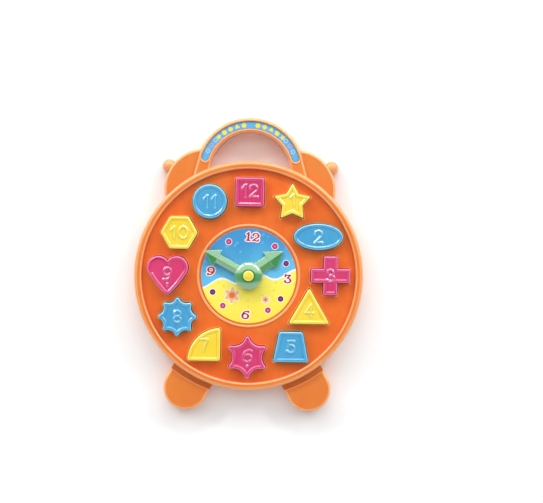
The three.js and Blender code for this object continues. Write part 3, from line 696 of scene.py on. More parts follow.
plainDigits = {
    "0": (0.75, [arc(0.375, 0.5, 0.375, 0.5, 0, 360)]),
    "1": (0.33, [[0.02 + 0.72j, 0.29 + 1j, 0.29 + 0j]]),
    "2": (0.63, [arc(0.31, 0.69, 0.30, 0.31, 168, -38) + [0.02 + 0j, 0.63 + 0j]]),
    "3": (0.64, [arc(0.30, 0.745, 0.27, 0.255, 155, -90) + arc(0.31, 0.26, 0.33, 0.26, 90, -155)]),
    "4": (0.66, [[0.48 + 0j, 0.48 + 1j, 0.02 + 0.32j, 0.68 + 0.32j]]),
    "5": (0.66, [[0.60 + 1j, 0.13 + 1j, 0.07 + 0.56j] + arc(0.31, 0.33, 0.34, 0.33, 130, -150)]),
    "6": (0.75, [arc(0.375, 0.31, 0.375, 0.31, 0, 360), arc(0.56, 0.36, 0.56, 0.64, 72, 180)]),
    "7": (0.62, [[0 + 1j, 0.62 + 1j, 0.42 + 0.55j, 0.26 + 0j]]),
    "8": (0.59, [arc(0.295, 0.755, 0.255, 0.245, 0, 360), arc(0.295, 0.255, 0.295, 0.255, 0, 360)]),
    "9": (0.62, [arc(0.31, 0.69, 0.31, 0.31, 0, 360), arc(0.14, 0.64, 0.48, 0.64, -108, 0)]),
}


def ball(x, y, size=0.03):
    return arc(x, y, size, size, 0, 360, 10)


slabDigits = {
    "1": (0.50, [[0.02 + 0.82j, 0.27 + 0.98j, 0.27 + 0.02j], [0 + 0j, 0.52 + 0j]]),
    "2": (0.84, [arc(0.42, 0.69, 0.36, 0.31, 172, -36) + [0.06 + 0.03j, 0.24 + 0.09j, 0.44 + 0.03j, 0.62 + 0j,
                 0.76 + 0.06j, 0.82 + 0.17j], ball(0.09, 0.75)]),
    "3": (0.80, [[0.07 + 0.82j, 0.10 + 1j, 0.72 + 1j, 0.36 + 0.63j] + arc(0.40, 0.31, 0.39, 0.31, 78, -150),
                 ball(0.08, 0.17)]),
    "6": (0.82, [arc(0.41, 0.32, 0.38, 0.32, 0, 360), arc(0.66, 0.36, 0.63, 0.64, 78, 182), ball(0.76, 0.92)]),
    "9": (0.82, [arc(0.41, 0.68, 0.38, 0.32, 0, 360), arc(0.16, 0.64, 0.63, 0.64, -102, 2), ball(0.06, 0.08)]),
}


def drawNumber(digits, number, height, spacing, middle, turn=0):
    # the strokes of a number, centred on a plan point
    strokes, pen = [], 0
    for digit in number:
        width, lines = digits[digit]
        strokes += [[(point + pen) * height for point in line] for line in lines]
        pen += width + spacing
    centre = complex((pen - spacing) / 2, 0.5) * height
    return [[(point - centre) * direction(turn) + middle for point in line] for line in strokes]


def insideStroke(points, strokes, pen, contrast):
    # how far each point lies inside the strokes, and where the stroke's own edge is from there
    depth = np.full(points.shape, -np.inf)
    rim = np.array(points)
    for line in strokes:
        for start, end in zip(line, line[1:]):
            span = end - start
            half = pen * (1 - contrast * abs(span.real) / abs(span))
            share = np.clip(((points - start) * np.conj(span)).real / abs(span) ** 2, 0, 1)
            foot = start + share * span
            reach = np.abs(points - foot)
            deeper = half - reach > depth
            depth = np.where(deeper, half - reach, depth)
            rim = np.where(deeper, foot + (points - foot) / np.maximum(reach, 1e-6) * half, rim)
    return depth, rim


def penRelief(strokes, pen, bottom, rise, flank, cell, contrast=0):
    # a fine sheet over the strokes: pen is the half width, and the sheet's rim is pulled onto the pen line
    ends = np.array([point for line in strokes for point in line])
    xs, ys = (np.arange(side.min() - pen - cell, side.max() + pen + 2 * cell, cell)
              for side in (ends.real, ends.imag))
    grid = xs[None, :] + 1j * ys[:, None]
    depth, rim = insideStroke(grid, strokes, pen, contrast)
    inside = depth > 0
    plan = np.where(inside, grid, rim).ravel()
    heights = (bottom + rise * np.clip(depth / flank, 0, 1)).ravel()
    index = np.arange(grid.size).reshape(grid.shape)
    corners = (np.s_[:-1, :-1], np.s_[:-1, 1:], np.s_[1:, 1:], np.s_[1:, :-1])
    kept = np.any([inside[corner] for corner in corners], axis=0)
    used, faces = np.unique(np.stack([index[corner][kept] for corner in corners], 1), return_inverse=True)
    return [raised(plan[i], heights[i]) for i in used], faces.reshape(-1, 4).tolist()


numeralSizes = {"height": 10.7, "pen": 1.65, "rise": 0.76, "sunk": 0.06, "flank": 1.33, "cell": 0.2,
                "spacing": 0.36, "marks": {"6": (3.65, 0.1), "9": (4.75, 0.9)}, "leans": (0.03, 0.2)}


def makeBlock(node, number, colour, outline, place, lift, sizes=numeralSizes):
    low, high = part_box(node)
    face = high.z / mm - blockSizes["faceDrop"]
    middle = place + 1j * lift * (high.y - low.y) / mm
    strokes = drawNumber(plainDigits, number, sizes["height"], sizes["spacing"], middle)
    if number in sizes["marks"]:  # the mark underneath tells a 6 from a 9
        below, reach = sizes["marks"][number]
        under = middle - 1j * (sizes["height"] / 2 + below)
        strokes.append([under - reach * 1j, under + reach * 1j])
    sunk = sizes["sunk"]
    relief = penRelief(strokes, sizes["pen"], face - sunk, sizes["rise"] + sunk, sizes["flank"], sizes["cell"])
    cup = makeObject(node + "Cup", blockShape(outline))
    block = joinPieces(node + "Shown", cup, makeObject(node + "Number", relief, False))
    return finishPiece(block, node, node, plastics[colour], 50, sizes["leans"])


for item in blockPlan:
    makeBlock(*item)
print("blocks made:", len(blockPlan))


# Body moulding: drum, twelve sleeved wells, handle arch, bells, knobs and feet

bodySizes = {
    "drumRadius": 107, "draft": 0.6, "wall": 2.2, "beadWidth": 7, "beadOuterRound": 3, "beadInnerRound": 1.6,
    "footFillet": 0.9, "footChamfer": 0.4, "ringRadius": 47, "ringWidth": 2.4, "ringRise": 1, "ringFullness": 0.8,
    "bossRadius": 7, "bossBottom": 8, "bossLap": 0.5, "boreRadius": 3.3, "boreSegments": 96, "ribCount": 6,
    "ribReach": 55, "ribThickness": 1.6, "ribDepth": 4, "segments": 288, "wellGap": 0.5, "snugGap": 0.12,
    "sleeveWall": 1.6, "sleeveFoot": 0.8, "sleeveChamfer": 0.3, "mouthRound": 0.9,
}
handleSizes = {"reach": 96, "outerRadius": 50.8, "innerRadius": 37.7, "shoulderRise": 20, "footHalfWidth": 54,
               "height": 17, "round": 2, "pocketWidth": 7.1, "pocketDepth": 1, "beadWidth": 1.8, "beadRise": 0.7,
               "endAngle": 18, "gripRound": 1.6, "segments": 192}
bellSizes = {"reach": 91.4, "angle": 27.9, "radius": 37, "height": 14, "round": 2.4, "segments": 160,
             "knobRadius": 6.5, "knobWall": 3, "knobGap": 2, "knobAngle": 58, "knobTip": 0.05, "knobSegments": 64}
footSizes = {"angle": 28.6, "reach": 119.6, "radius": 20.5, "height": 14, "round": 2, "valleyWidth": 4.6,
             "valleyDepth": 3, "valleySlope": 1.5, "valleyDrop": 0.93}
over = 5  # how far a cutter runs past what it cuts
drumRadius, wall = bodySizes["drumRadius"], bodySizes["wall"]
plateBottom = plateTop - wall
wallMiddle = drumRadius - wall / 2
archCentre = 1j * handleSizes["reach"]
archMiddle = (handleSizes["outerRadius"] + handleSizes["innerRadius"]) / 2


def drumShape(sizes=bodySizes):
    # the bead and the wall, a hollow fillet down into the plate, and the ring round the dial
    shoulder, chamfer, rounding = drumRadius - sizes["draft"], sizes["footChamfer"], sizes["beadOuterRound"]
    beadFoot, fillet = shoulder - sizes["beadWidth"], sizes["footFillet"]
    ring, half = sizes["ringRadius"], sizes["ringWidth"] / 2
    hollow = [(beadFoot - fillet * (1 - cos(t)), plateTop + fillet * (1 - sin(t)))
              for t in evenly(pi / 2, 6)]
    raisedRing = [(ring + half * cos(t), plateTop + sizes["ringRise"] * sin(t) ** sizes["ringFullness"])
                  for t in evenly(pi, 16)]
    return turned([
        (beadFoot + wall, plateBottom), (beadFoot + wall, drumTop - wall), (shoulder - rounding, drumTop - wall),
        (shoulder - wall, drumTop - rounding), (drumRadius - wall, 0), (drumRadius - chamfer, 0),
        (drumRadius, chamfer), *roundedEdge(shoulder, drumTop, rounding, 14),
        *reversed(roundedEdge(beadFoot, drumTop, -sizes["beadInnerRound"], 10)), *hollow, *raisedRing,
    ], sizes["segments"])


def sleeveShape(outline, sizes=bodySizes):
    inner, outer = sizes["wellGap"] / 2, sizes["wellGap"] + sizes["sleeveWall"]
    middle, foot, chamfer = (plateTop + plateBottom) / 2, sizes["sleeveFoot"], sizes["sleeveChamfer"]
    return carried(outline, [(inner, foot), (outer - chamfer, foot), (outer, foot + chamfer), (outer, middle),
                             (inner, middle)], True)


def wellShape(outline, sizes=bodySizes):
    gap, mouth = sizes["snugGap"], sizes["mouthRound"]
    return carried(outline, [(gap, -over), *roundedEdge(gap, plateTop, -mouth, 8), (gap + mouth, plateTop + over)])


def makeRibs(sizes=bodySizes):
    # Geometry Nodes: one rib, copied round the boss
    graph, given, run = makeTree("ribSpider", {
        "Count": sizes["ribCount"], "Length": sizes["ribReach"] * mm, "Thickness": sizes["ribThickness"] * mm,
        "Depth": (sizes["ribDepth"] + wall / 2) * mm})
    size = graph.add("CombineXYZ", {"X": given["Thickness"], "Y": given["Length"], "Z": given["Depth"]})
    outward = graph.add("CombineXYZ", {"Y": given["Length"] / 2, "Z": given["Depth"] / 2})
    turn = graph.add("CombineXYZ", {"Z": graph.add("InputIndex") * (2 * pi) / given["Count"]})
    rib = graph.add("MeshCube", {"Size": size})
    rib = graph.add("Transform", {"Geometry": rib, "Translation": outward})
    points = graph.add("Points", {"Count": given["Count"]})
    spider = graph.add("InstanceOnPoints", {"Points": points, "Instance": rib, "Rotation": turn})
    spider = graph.add("InstanceOnPoints", {"Points": given["Geometry"], "Instance": spider})
    return run(spider, plastics["orange"], [(0, 0, plateBottom - sizes["ribDepth"])])


def lobe(outline, height, edge):
    # the skin of a part beside the drum, and the space inside it
    foot = bodySizes["footChamfer"]
    return (carried(outline, [(-foot, 0), (0, foot), *roundedEdge(0, height, edge, 10)]),
            carried(outline, [(-wall, -over), (-wall, height - wall)]))


def handleOutline(sizes=handleSizes):
    legX, radius, rise = sizes["footHalfWidth"], sizes["outerRadius"], sizes["shoulderRise"]
    leg = complex(legX, sqrt(wallMiddle ** 2 - legX ** 2) - wall)
    shoulder = complex(sqrt(radius ** 2 - rise ** 2), sizes["reach"] + rise)
    return cornerOutline([{"at": leg}, {"at": shoulder, "bow": radius - rise, "steps": 96},
                          {"at": -shoulder.conjugate()}, {"at": -leg.conjugate()}])


def bandOutline(width, sizes=handleSizes):
    half, right = width / 2, direction(sizes["endAngle"])
    outer, inner, left, rise = archMiddle + half, archMiddle - half, -right.conjugate(), 1 - right.imag
    return cornerOutline([
        {"at": archCentre + right * outer, "bow": outer * rise, "steps": 80},
        {"at": archCentre + left * outer, "bow": half, "steps": 16},
        {"at": archCentre + left * inner, "bow": -inner * rise, "steps": 80},
        {"at": archCentre + right * inner, "bow": half, "steps": 16},
    ])


def pocketBeadShape(sizes=handleSizes):
    top, half, rise = sizes["height"], sizes["beadWidth"] / 2, sizes["beadRise"]
    arch = [(half + half * cos(t), top + rise * sin(t)) for t in evenly(pi, 10)]
    return carried(bandOutline(sizes["pocketWidth"]), [(0, top - rise), (2 * half, top - rise), *arch], True)


def knobShapes(side, sizes=bellSizes):
    centre = clockPoint(sizes["reach"], side * sizes["angle"])
    centre += clockPoint(sizes["radius"] + sizes["knobGap"], side * sizes["knobAngle"])

    def dome(radius, bottom, top):
        arch = [(radius * cos(t), top - radius + radius * sin(t)) for t in evenly(pi / 2, 16, 0)]
        return turned([(radius, bottom), *arch, (sizes["knobTip"], top)], sizes["knobSegments"], centre)

    radius, shell = sizes["knobRadius"], sizes["knobWall"]
    return dome(radius, 0, 2 * radius), dome(radius - shell, -over, 2 * radius - shell)


def footShapes(side, sizes=footSizes):
    # the skin and its space, the valley's cutter, and what the space leaves: the valley's floor and a rib
    start, reach, radius, height = wallMiddle - wall, sizes["reach"], sizes["radius"], sizes["height"]
    outline = turnedOutline(cornerOutline([
        {"at": complex(-radius, -start)}, {"at": complex(-radius, -reach), "bow": radius, "steps": 56},
        {"at": complex(radius, -reach)}, {"at": complex(radius, -start)},
    ]), side * sizes["angle"])
    valley, floor, slope = drumRadius + sizes["valleyWidth"], height - sizes["valleyDepth"], sizes["valleySlope"]
    cut = turned([(valley, floor), (valley, height - sizes["valleyDrop"]), (valley + slope, height),
                  (valley + slope, height + over)], bodySizes["segments"])
    keep = cylinder(valley + wall, floor - wall, height, bodySizes["segments"])
    half = bodySizes["ribThickness"] / 2
    points, faces = block3((-half, -reach - radius, 0), (half, -reach + radius, height - wall))
    rib = [raised(complex(x, y) * direction(side * sizes["angle"]), z) for x, y, z in points], faces
    return *lobe(outline, height, sizes["round"]), cut, keep, rib


def makeLobes(handle=handleSizes, bells=bellSizes):
    skins, spaces = [], []
    for side in (-1, 1):
        centre = clockPoint(bells["reach"], side * bells["angle"])
        bell = movedOutline(ovalOutline(bells["radius"], bells["radius"], bells["segments"]), centre)
        for skin, space in (lobe(bell, bells["height"], bells["round"]), knobShapes(side)):
            skins.append(skin)
            spaces.append(space)
        skin, space, cut, keep, rib = footShapes(side)
        skins.append(combine(makeObject("skin", skin), "DIFFERENCE", cut))
        spaces.append(combine(makeObject("space", space), "DIFFERENCE", keep, rib))
    skin, space = lobe(handleOutline(), handle["height"], handle["round"])
    body = combine(makeObject("skin", skins[0]), "UNION", *skins[1:], skin, pocketBeadShape())
    hollow = combine(makeObject("space", spaces[0]), "UNION", *spaces[1:], space)
    high, inner, segments = drumTop + over, handle["innerRadius"], handle["segments"]
    combine(hollow, "DIFFERENCE", cylinder(inner + wall, -over, high, segments, archCentre))
    rolled = roundedEdge(inner, handle["height"], -handle["gripRound"])
    grip = turned([(inner, -over), *rolled, (rolled[-1][0], high)], segments, archCentre)
    pocket = carried(bandOutline(handle["pocketWidth"]), [(0, handle["height"] - handle["pocketDepth"]), (0, high)])
    core = cylinder(wallMiddle, -over, high, bodySizes["segments"])
    return combine(body, "DIFFERENCE", hollow, grip, pocket, core)


def makeBody(sizes=bodySizes):
    body = combine(makeObject("bodyShown", drumShape()), "UNION", makeLobes())
    print("lobes joined:", len(body.data.polygons))
    outlines = [item[3] for item in blockPlan]
    bossFoot, segments = sizes["bossBottom"], sizes["boreSegments"]
    combine(body, "UNION", *[sleeveShape(outline) for outline in outlines],
            cylinder(sizes["bossRadius"], bossFoot, plateTop - sizes["bossLap"], segments), makeRibs())
    combine(body, "DIFFERENCE", *[wellShape(outline) for outline in outlines],
            cylinder(sizes["boreRadius"], bossFoot - over, plateTop + over, segments))
    return finishPiece(body, "body", "body_shell", plastics["orange"], 40)


print("body made, faces:", len(makeBody().data.polygons))


# Hands and pin

handSizes = {
    "hubRadius": 12.8, "hubFoot": 0.3, "hubWall": 3, "hubHeight": 6.6, "hubBulge": 10.84 + 5.64j, "recessRadius": 6,
    "recessDepth": 0.8, "lowerHubHeight": 3, "lowerHubRound": 0.6, "edgeHeight": 1.4, "ridgeHeight": 2.8,
    "tipWidth": 1.2, "bevel": 0.3, "bevelAngle": 12,
    "hour": {"length": 38.8, "shaft": 12, "head": 20.8, "headLength": 15, "angle": 53.8},
    "minute": {"length": 46.4, "shaft": 8.6, "head": 18, "headLength": 13.3, "angle": -61.4},
}


def makeArrow(hand, bottom, sizes=handSizes):
    # a gable along the hand: low edges, a ridge in the middle, drawn as five-point sections
    start, shaft, head = hand["length"] - hand["headLength"], hand["shaft"] / 2, hand["head"] / 2
    edge, ridge, tip = sizes["edgeHeight"], sizes["ridgeHeight"], sizes["tipWidth"] / 2
    loops = []
    for reach, half, top in ((sizes["hubRadius"] / 2, shaft, ridge), (start, shaft, ridge), (start, head, ridge),
                             (hand["length"], tip, edge + (ridge - edge) * tip / head)):
        section = ((half, 0), (half, edge), (0, top), (-half, edge), (-half, 0))
        loops.append([raised(complex(x, reach) * direction(-hand["angle"]), bottom + z) for x, z in section])
    arrow = makeObject("arrow", loft(loops))
    soften = arrow.modifiers.new("softEdges", "BEVEL")
    soften.width, soften.segments = sizes["bevel"] * mm, 3
    soften.limit_method, soften.angle_limit = "ANGLE", radians(sizes["bevelAngle"])
    return settle(arrow)


def makeHand(node, shownName, hand, side, segments):
    # side is the outside of the hub, with heights above its lower face
    bottom, bore = levelsOf(node)[0], bodySizes["boreRadius"]
    profile = [(reach, bottom + height) for reach, height in ((bore, 0), *side, (bore, side[-1][1]))]
    hub = makeObject("hub", turned(profile, segments, 0, True))
    made = joinPieces(shownName, hub, makeArrow(hand, bottom))
    return finishPiece(made, node, node, plastics["green"], 30)


def makeHands(sizes=handSizes):
    radius, foot, top, recess = (sizes[key] for key in ("hubRadius", "hubFoot", "hubHeight", "recessRadius"))
    lower = [(radius, 0), *roundedEdge(radius, sizes["lowerHubHeight"], sizes["lowerHubRound"], 6)]
    dome = bend(complex(radius, sizes["hubWall"] + foot), sizes["hubBulge"], complex(recess, top), 24)
    upper = [(radius - foot, 0), (radius, foot), *[(point.real, point.imag) for point in dome],
             (recess, top - sizes["recessDepth"])]
    makeHand("hour_hand", "hourHandShown", sizes["hour"], lower, 128)
    makeHand("minute_hand", "minuteHandShown", sizes["minute"], upper, 160)


pinSizes = {"radius": 3, "headRadius": 4.9, "headRise": 2, "faceShare": 0.93, "barbRise": 1, "barbLength": 2.4,
            "slotWidth": 1.4, "slotDepth": 7, "grooveRadius": 3.1, "grooveWidth": 0.5, "grooveDepth": 0.22,
            "domeStart": 1.1, "domeRise": 0.1, "tipRadius": 0.4}


def makePin(sizes=pinSizes):
    low, high = levelsOf("centre_pin")
    radius, head, rise, barb = sizes["radius"], sizes["headRadius"], sizes["headRise"], sizes["barbRise"]
    barbTop, headBottom, face = low + sizes["barbLength"], high - rise, high - rise + rise * sizes["faceShare"]
    groove, width, half = sizes["grooveRadius"], sizes["grooveWidth"], sizes["slotWidth"] / 2
    profile = [
        (radius - barb, low), (radius + barb, barbTop), (radius, barbTop), (radius, headBottom), (head, headBottom),
        # the head's round side, the groove in its face, and the low dome inside the groove
        *[(head * cos(t), headBottom + rise / 2 * (1 + sin(t))) for t in evenly(pi / 2, 20)[:15]],
        (groove, face), (groove - width / 2, face - sizes["grooveDepth"]), (groove - width, face),
        (groove - sizes["domeStart"], face + sizes["domeRise"]), (sizes["tipRadius"], high),
    ]
    slot = block3((-half, -2 * radius, low - over), (half, 2 * radius, low + sizes["slotDepth"]))
    pin = combine(makeObject("pinShown", turned(profile)), "DIFFERENCE", slot)
    return finishPiece(pin, "body", "centre_pin", plastics["pinYellow"], 30)


makeHands()
makePin()
print("hands and pin made")


# Printed stickers

dialPrint = {
    "radius": 44.2, "round": 0.15, "turn": 4.9, "layer": 0.012,
    "inkRise": 0.004, "inkFlank": 0.2, "edgingCell": 0.16, "numberCell": 0.1,
    "numberHeight": 7.1, "numberPen": 1, "numberEdging": 0.85, "numberContrast": 0.42, "numberSpacing": 0.3,
    "numbers": ((12, "red", 5.1, 36.4), (3, "darkRed", 93.8, 36.4), (6, "darkRed", 183.8, 36.4),
                (9, "red", 276.3, 35.3)),
    "dotReach": 36.7, "dotRadius": 2.65, "dotOutline": 0.6, "dotCore": 0.5, "dotSegments": 40,
    "dots": {"pink": (-145, -36, 36, 145), "purple": (-120, -66, 66, 120)},
}
dialPicture = {
    "mottle": (0.6, 4), "fleck": (5, 3), "waveHeight": 3.4, "waveLength": 34, "shoreRise": 3, "shoreLean": 0.22,
    "line": 0.75, "blur": 0.25, "seam": 0.12, "lineTone": (250, 250, 252),
    "skyReach": 40, "skyTones": ((96, 192, 236), (52, 148, 208)),
    "sandReach": 42, "sandTones": ((255, 242, 92), (254, 230, 72)), "circle": (0.20, 0.23),
    "bubbles": (0.14, 0.85), "bubbleShare": 0.30, "bubbleTone": (140, 206, 240),
    "rings": (0.17, 0.6), "ringOutside": (0.30, 0.33), "ringShare": 0.55, "ringTone": (246, 206, 60),
    "stars": ((-13.5, -19.5, 7.6), (18, -20.5, 3.8)), "starArms": 6, "starReach": 0.80, "starSwing": 0.20,
    "starEdging": (0.6, 0.85), "starCore": 0.36, "starTones": ((252, 250, 246), (248, 190, 140), (238, 118, 60)),
    "fleckFrom": (0.4, 0.75), "fleckShare": 0.07, "stainFrom": (0.4, 0.8), "stainShare": 0.06,
    "stainTone": (30, 80, 120), "mottleRise": 0.5,
}
paperLook = {"rough": 0.36, "roughSpread": 0.12, "bump": 0.2, "bumpDepth": 0.03, "skin": 0.35, "skinRough": 0.12}


def makeDialPaper(look=dialPicture):
    # sky over a wavy shore, with pale bubbles, rings in the sand and two sea stars
    material, graph = startMaterial("dialPaper")
    place = dialPlace(graph, dialPrint["turn"])
    x, y = (graph.add("SeparateXYZ", {"Vector": place}, axis) for axis in "XY")
    mottle, fleck = (noiseAt(graph, place, *look[key]) for key in ("mottle", "fleck"))
    bubbles, rings = (graph.add("TexVoronoi", {"Vector": place, "Scale": scale, "Randomness": spread}, feature="F1")
                      for scale, spread in (look["bubbles"], look["rings"]))
    wave = (x * (2 * pi / look["waveLength"])).maths("SINE") * look["waveHeight"]
    shore = y + look["shoreRise"] - wave - x * look["shoreLean"]
    line = 1 - shore.maths("ABSOLUTE").between(look["line"], look["line"] + look["blur"])
    sky = graph.mix(shore.between(0, look["skyReach"]), *look["skyTones"])
    sky = graph.mix((1 - bubbles.between(*look["circle"])) * look["bubbleShare"], sky, look["bubbleTone"])
    sand = graph.mix((shore * -1).between(0, look["sandReach"]), *look["sandTones"])
    hoops = rings.between(*look["circle"]) * (1 - rings.between(*look["ringOutside"])) * look["ringShare"]
    sand, seam = graph.mix(hoops, sand, look["ringTone"]), (-look["seam"], look["seam"])
    colour = graph.mix(line, graph.mix(shore.between(*seam), sand, sky), look["lineTone"])
    for centreX, centreY, size in look["stars"]:
        armX, armY = x - centreX, y - centreY
        reach = (armX * armX + armY * armY) ** 0.5
        swing = (armX.maths("ARCTAN2", armY) * look["starArms"]).maths("COSINE")
        arm, core = reach - size * (look["starReach"] + look["starSwing"] * swing), size * look["starCore"]
        masks = [1 - arm.between(*look["starEdging"]), 1 - arm.between(*seam),
                 1 - reach.between(core, core + look["blur"])]
        colour = graph.paint(colour, *zip(masks, look["starTones"]))
    colour = graph.paint(colour, (fleck.between(*look["fleckFrom"]) * look["fleckShare"], (255, 255, 255)),
                         (mottle.between(*look["stainFrom"]) * look["stainShare"], look["stainTone"]))
    height = fleck + mottle * look["mottleRise"]
    finishPrint(graph, paperLook, colour, mottle - 0.5, height)
    return material


def makeHourDots(name, ink, hours, level, look=dialPrint):
    # Geometry Nodes: a ringed dot on each point
    graph, given, run = makeTree(name, {
        "Dot Radius": look["dotRadius"] * mm, "Outline": look["dotOutline"] * mm, "Layer Step": look["layer"] * mm})
    radius, layers = given["Dot Radius"], []
    for step, (reach, colour) in enumerate((
            (radius + given["Outline"], "white"), (radius, ink), (radius * look["dotCore"], ink + "Pale"))):
        disc = graph.add("MeshCircle", {"Vertices": look["dotSegments"], "Radius": reach}, fill_type="NGON")
        lift = graph.add("CombineXYZ", {"Z": given["Layer Step"] * step})
        disc = graph.add("Transform", {"Geometry": disc, "Translation": lift})
        layers.append(graph.add("SetMaterial", {"Geometry": disc, "Material": inks[colour]}))
    dots = graph.add("InstanceOnPoints", {
        "Points": given["Geometry"], "Instance": graph.add("JoinGeometry", {"Geometry": layers})})
    return run(dots, None, [raised(clockPoint(look["dotReach"], look["turn"] + angle), level) for angle in hours])


def addPrint(piece, ink=None):
    if ink:
        piece.data.materials.append(inks[ink])
    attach(piece, "body")


def makeDial(look=dialPrint):
    low, high = levelsOf("dial_label")
    bore, radius, layer = bodySizes["boreRadius"], look["radius"], look["layer"]
    profile = [(bore, low), (radius, low), *roundedEdge(radius, high, look["round"], 4), (bore, high)]
    paper = makeObject("dialStickerShown", turned(profile, 256, 0, True))
    finishPiece(paper, "body", "dial_label", makeDialPaper(), 50)
    for ink, hours in look["dots"].items():
        addPrint(makeHourDots(ink + "HourDots", ink, hours, high + layer))
    pen = look["numberPen"]
    for hour, ink, angle, reach in look["numbers"]:
        strokes = drawNumber(slabDigits, str(hour), look["numberHeight"], look["numberSpacing"],
                             clockPoint(reach, angle), -look["turn"])
        for name, half, level, cell, colour in (
                ("numberEdging", pen + look["numberEdging"], high + layer, look["edgingCell"], "white"),
                ("number", pen, high + 3 * layer, look["numberCell"], ink)):
            contrast = look["numberContrast"] * pen / half
            sheet = penRelief(strokes, half, level, look["inkRise"], look["inkFlank"], cell, contrast)
            addPrint(makeObject(name + str(hour), sheet, False), colour)


bandPrint = {"margin": 0.3, "round": 0.12, "firstAngle": 48, "sweep": 84, "count": 11, "size": 2.6,
             "ringRadius": 1.7, "ringPen": 0.45, "inkFlank": 0.1, "ringCell": 0.12,
             "rings": ((47.5, "paleBlue"), (55.5, "palePink"), (63.5, "paleBlue")),
             "motifs": ((32, 0.86), (4, 1.0), (3, 1.05), (5, 0.95)), "starInner": 0.5, "starOuter": 1.15,
             "mottle": (0.8, 4), "fleck": (5, 3), "toneFrom": (0.3, 0.7), "tones": ((84, 170, 224), (98, 184, 234)),
             "fleckFrom": (0.4, 0.75), "fleckShare": 0.08}


def makeBandPaper(look=bandPrint):
    material, graph = startMaterial("bandPaper")
    place = dialPlace(graph)
    mottle, fleck = (noiseAt(graph, place, *look[key]) for key in ("mottle", "fleck"))
    colour = graph.mix(mottle.between(*look["toneFrom"]), *look["tones"])
    colour = graph.mix(fleck.between(*look["fleckFrom"]) * look["fleckShare"], colour, (255, 255, 255))
    finishPrint(graph, paperLook, colour, mottle - 0.5, fleck)
    return material


def makeBandMotifs(name, level, look=bandPrint):
    # Geometry Nodes: five little shapes, dealt out along the arch in turn, with a gap in the middle
    graph, given, run = makeTree(name, {
        "Radius": archMiddle * mm, "First Angle": radians(look["firstAngle"]),
        "Sweep": radians(look["sweep"]), "Count": look["count"], "Size": look["size"] * mm})
    size, last = given["Size"], given["Count"] - 1
    path = graph.add("CurveArc", {"Resolution": 128, "Radius": given["Radius"], "Start Angle": given["First Angle"],
                                  "Sweep Angle": given["Sweep"]})
    points = graph.add("CurveToPoints", {"Curve": path, "Count": given["Count"]})
    index = graph.add("InputIndex")
    shapes = []
    for corners, share in look["motifs"]:
        shape = graph.add("MeshCircle", {"Vertices": corners, "Radius": size * share}, fill_type="NGON")
        shapes.append(graph.add("Transform", {"Geometry": shape, "Rotation": (0, 0, pi / 2)}))
    star = graph.add("CurveStar", {
        "Points": 5, "Inner Radius": size * look["starInner"], "Outer Radius": size * look["starOuter"]})
    shapes.append(graph.add("FillCurve", {"Curve": star}))
    lean = index / last * given["Sweep"] + given["First Angle"] - pi / 2
    dealt = graph.add("InstanceOnPoints", {
        "Points": points, "Instance": graph.add("GeometryToInstance", {"Geometry": shapes}),
        "Pick Instance": True, "Instance Index": index.maths("MODULO", 5),
        "Rotation": graph.add("CombineXYZ", {"Z": lean}), "Selection": 1 - index.maths("COMPARE", last / 2, 0.1)})
    dealt = graph.add("InstanceOnPoints", {"Points": given["Geometry"], "Instance": dealt})
    return run(dealt, inks["yellow"], [raised(archCentre, level)])


def makeBand(look=bandPrint):
    low, high = levelsOf("handle_label")
    level = high + dialPrint["layer"]
    outline = bandOutline(handleSizes["pocketWidth"] - 2 * look["margin"])
    paper = makeObject("bandStickerShown", carried(outline, [(0, low), *roundedEdge(0, high, look["round"], 3)]))
    finishPiece(paper, "body", "handle_label", makeBandPaper(), 50)
    addPrint(makeBandMotifs("bandMotifs", level))
    for side in (-1, 1):
        for angle, ink in look["rings"]:
            centre, size = archCentre + clockPoint(archMiddle, side * angle), look["ringRadius"]
            circle = [arc(centre.real, centre.imag, size, size, 0, 360, 36)]
            ring = penRelief(circle, look["ringPen"], level, dialPrint["inkRise"], look["inkFlank"],
                             look["ringCell"])
            addPrint(makeObject("bandRing", ring, False), ink)


makeDial()
makeBand()
print("stickers made")


# Floor, light and camera

stageSizes = {"floor": 6, "floorDrop": 0.05, "lampReach": 2.4, "topGlow": 0.07, "roomGlow": 0.2,
              "overhead": (0.75, 0.99), "backGlow": 1.45, "backStart": (0.1, 0.3), "frontGlow": 0.98,
              "frontStart": (0.3, 0.55), "floorNoise": (3, 3), "floorFrom": (0.3, 0.7), "floorRough": 0.9,
              "floorTones": ((236, 236, 236), (240, 240, 240))}
lamps = {  # direction from the dial, watts, size in metres
    "lowWindow": ((0, 0.891, 0.454), 13, (1.4, 0.16)),
    "lowLeftWindow": ((-0.608, 0.652, 0.454), 14, (1.1, 0.16)),
    "lowRightWindow": ((0.608, 0.652, 0.454), 14, (1.1, 0.16)),
}


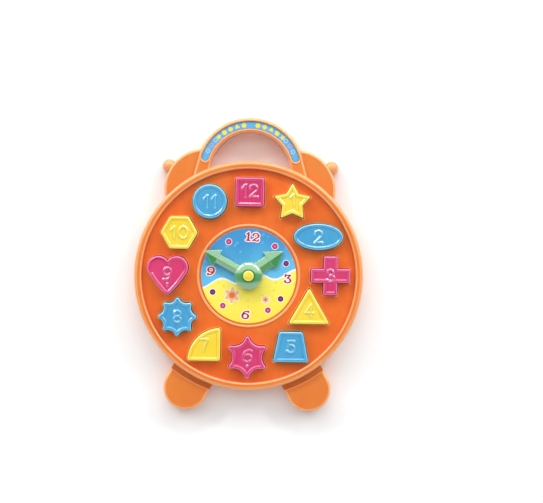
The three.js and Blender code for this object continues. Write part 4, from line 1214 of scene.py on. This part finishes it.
def makeFloor(sizes=stageSizes):
    # pale grey to the light, white to what the camera sees, straight or in a reflection
    material, graph = startMaterial("paleFloor")
    tone = noiseAt(graph, graph.add("TexCoord", out="Object"), *sizes["floorNoise"])
    camera, glossy, through = (graph.add("LightPath", out="Is " + kind + " Ray")
                               for kind in ("Camera", "Glossy", "Transmission"))
    seen = camera.maths("MAXIMUM", glossy).maths("MAXIMUM", through)
    colour = graph.mix(seen, graph.mix(tone.between(*sizes["floorFrom"]), *sizes["floorTones"]), (255, 255, 255))
    finishMaterial(graph, {"Base Color": colour, "Roughness": sizes["floorRough"]})
    half = sizes["floor"] / 2 / mm
    corners = [(-half, -half, 0), (half, -half, 0), (half, half, 0), (-half, half, 0)]
    floor = makeObject("floor", (corners, [(0, 1, 2, 3)]), False)
    floor.location.z = -sizes["floorDrop"] * mm
    floor.data.materials.append(material)


def makeLamp(name, direction, watts, size):
    data = bpy.data.lights.new(name, "AREA")
    data.shape, data.energy = "RECTANGLE", watts
    data.size, data.size_y = size
    away = Vector(direction).normalized()
    lamp = addObject(name, data)
    lamp.location = Vector((dialCentre.x, dialCentre.y, 0)) + away * stageSizes["lampReach"]
    lamp.rotation_euler = away.to_track_quat("Z", "Y").to_euler()


def makeWorld(sizes=stageSizes):
    # a pale room, dim overhead, with bright walls behind twelve and six o'clock
    world = bpy.data.worlds.new("studio")
    bpy.context.scene.world = world
    world.use_nodes = True
    graph = Graph(world.node_tree)
    parts = {"Vector": graph.add("TexCoord", out="Generated")}
    up, behind = graph.add("SeparateXYZ", parts, "Z").maths("ABSOLUTE"), graph.add("SeparateXYZ", parts, "Y")
    top, room = sizes["topGlow"], sizes["roomGlow"]
    glow = (1 - up.between(*sizes["overhead"])) * (room - top) + top
    glow += behind.between(*sizes["backStart"]) * (sizes["backGlow"] - room)
    glow += (behind * -1).between(*sizes["frontStart"]) * (sizes["frontGlow"] - room)
    graph.add("OutputWorld", {"Surface": graph.add("Background", {"Color": (1, 1, 1, 1), "Strength": glow})})


cameraView = {"height": 1.4, "frameWidth": 0.505, "roll": 0.9, "dialPixel": (248.6, 275.8), "image": (543, 503)}


def makeCamera(view=cameraView):
    width, height = view["image"]
    pixel = complex(width / 2 - view["dialPixel"][0], view["dialPixel"][1] - height / 2)
    offset = pixel * (view["frameWidth"] / width) * direction(view["roll"])
    data = bpy.data.cameras.new("topCamera")
    data.sensor_width = 36
    data.lens = data.sensor_width * (view["height"] - plateTop * mm) / view["frameWidth"]
    camera = addObject("topCamera", data)
    camera.location = (dialCentre.x + offset.real, dialCentre.y + offset.imag, view["height"])
    camera.rotation_euler = (0, 0, radians(view["roll"]))
    bpy.context.scene.camera = camera


makeFloor()
makeWorld()
for name, settings in lamps.items():
    makeLamp(name, *settings)
makeCamera()
bpy.context.scene.view_settings.view_transform = "Standard"

print("scene ready")
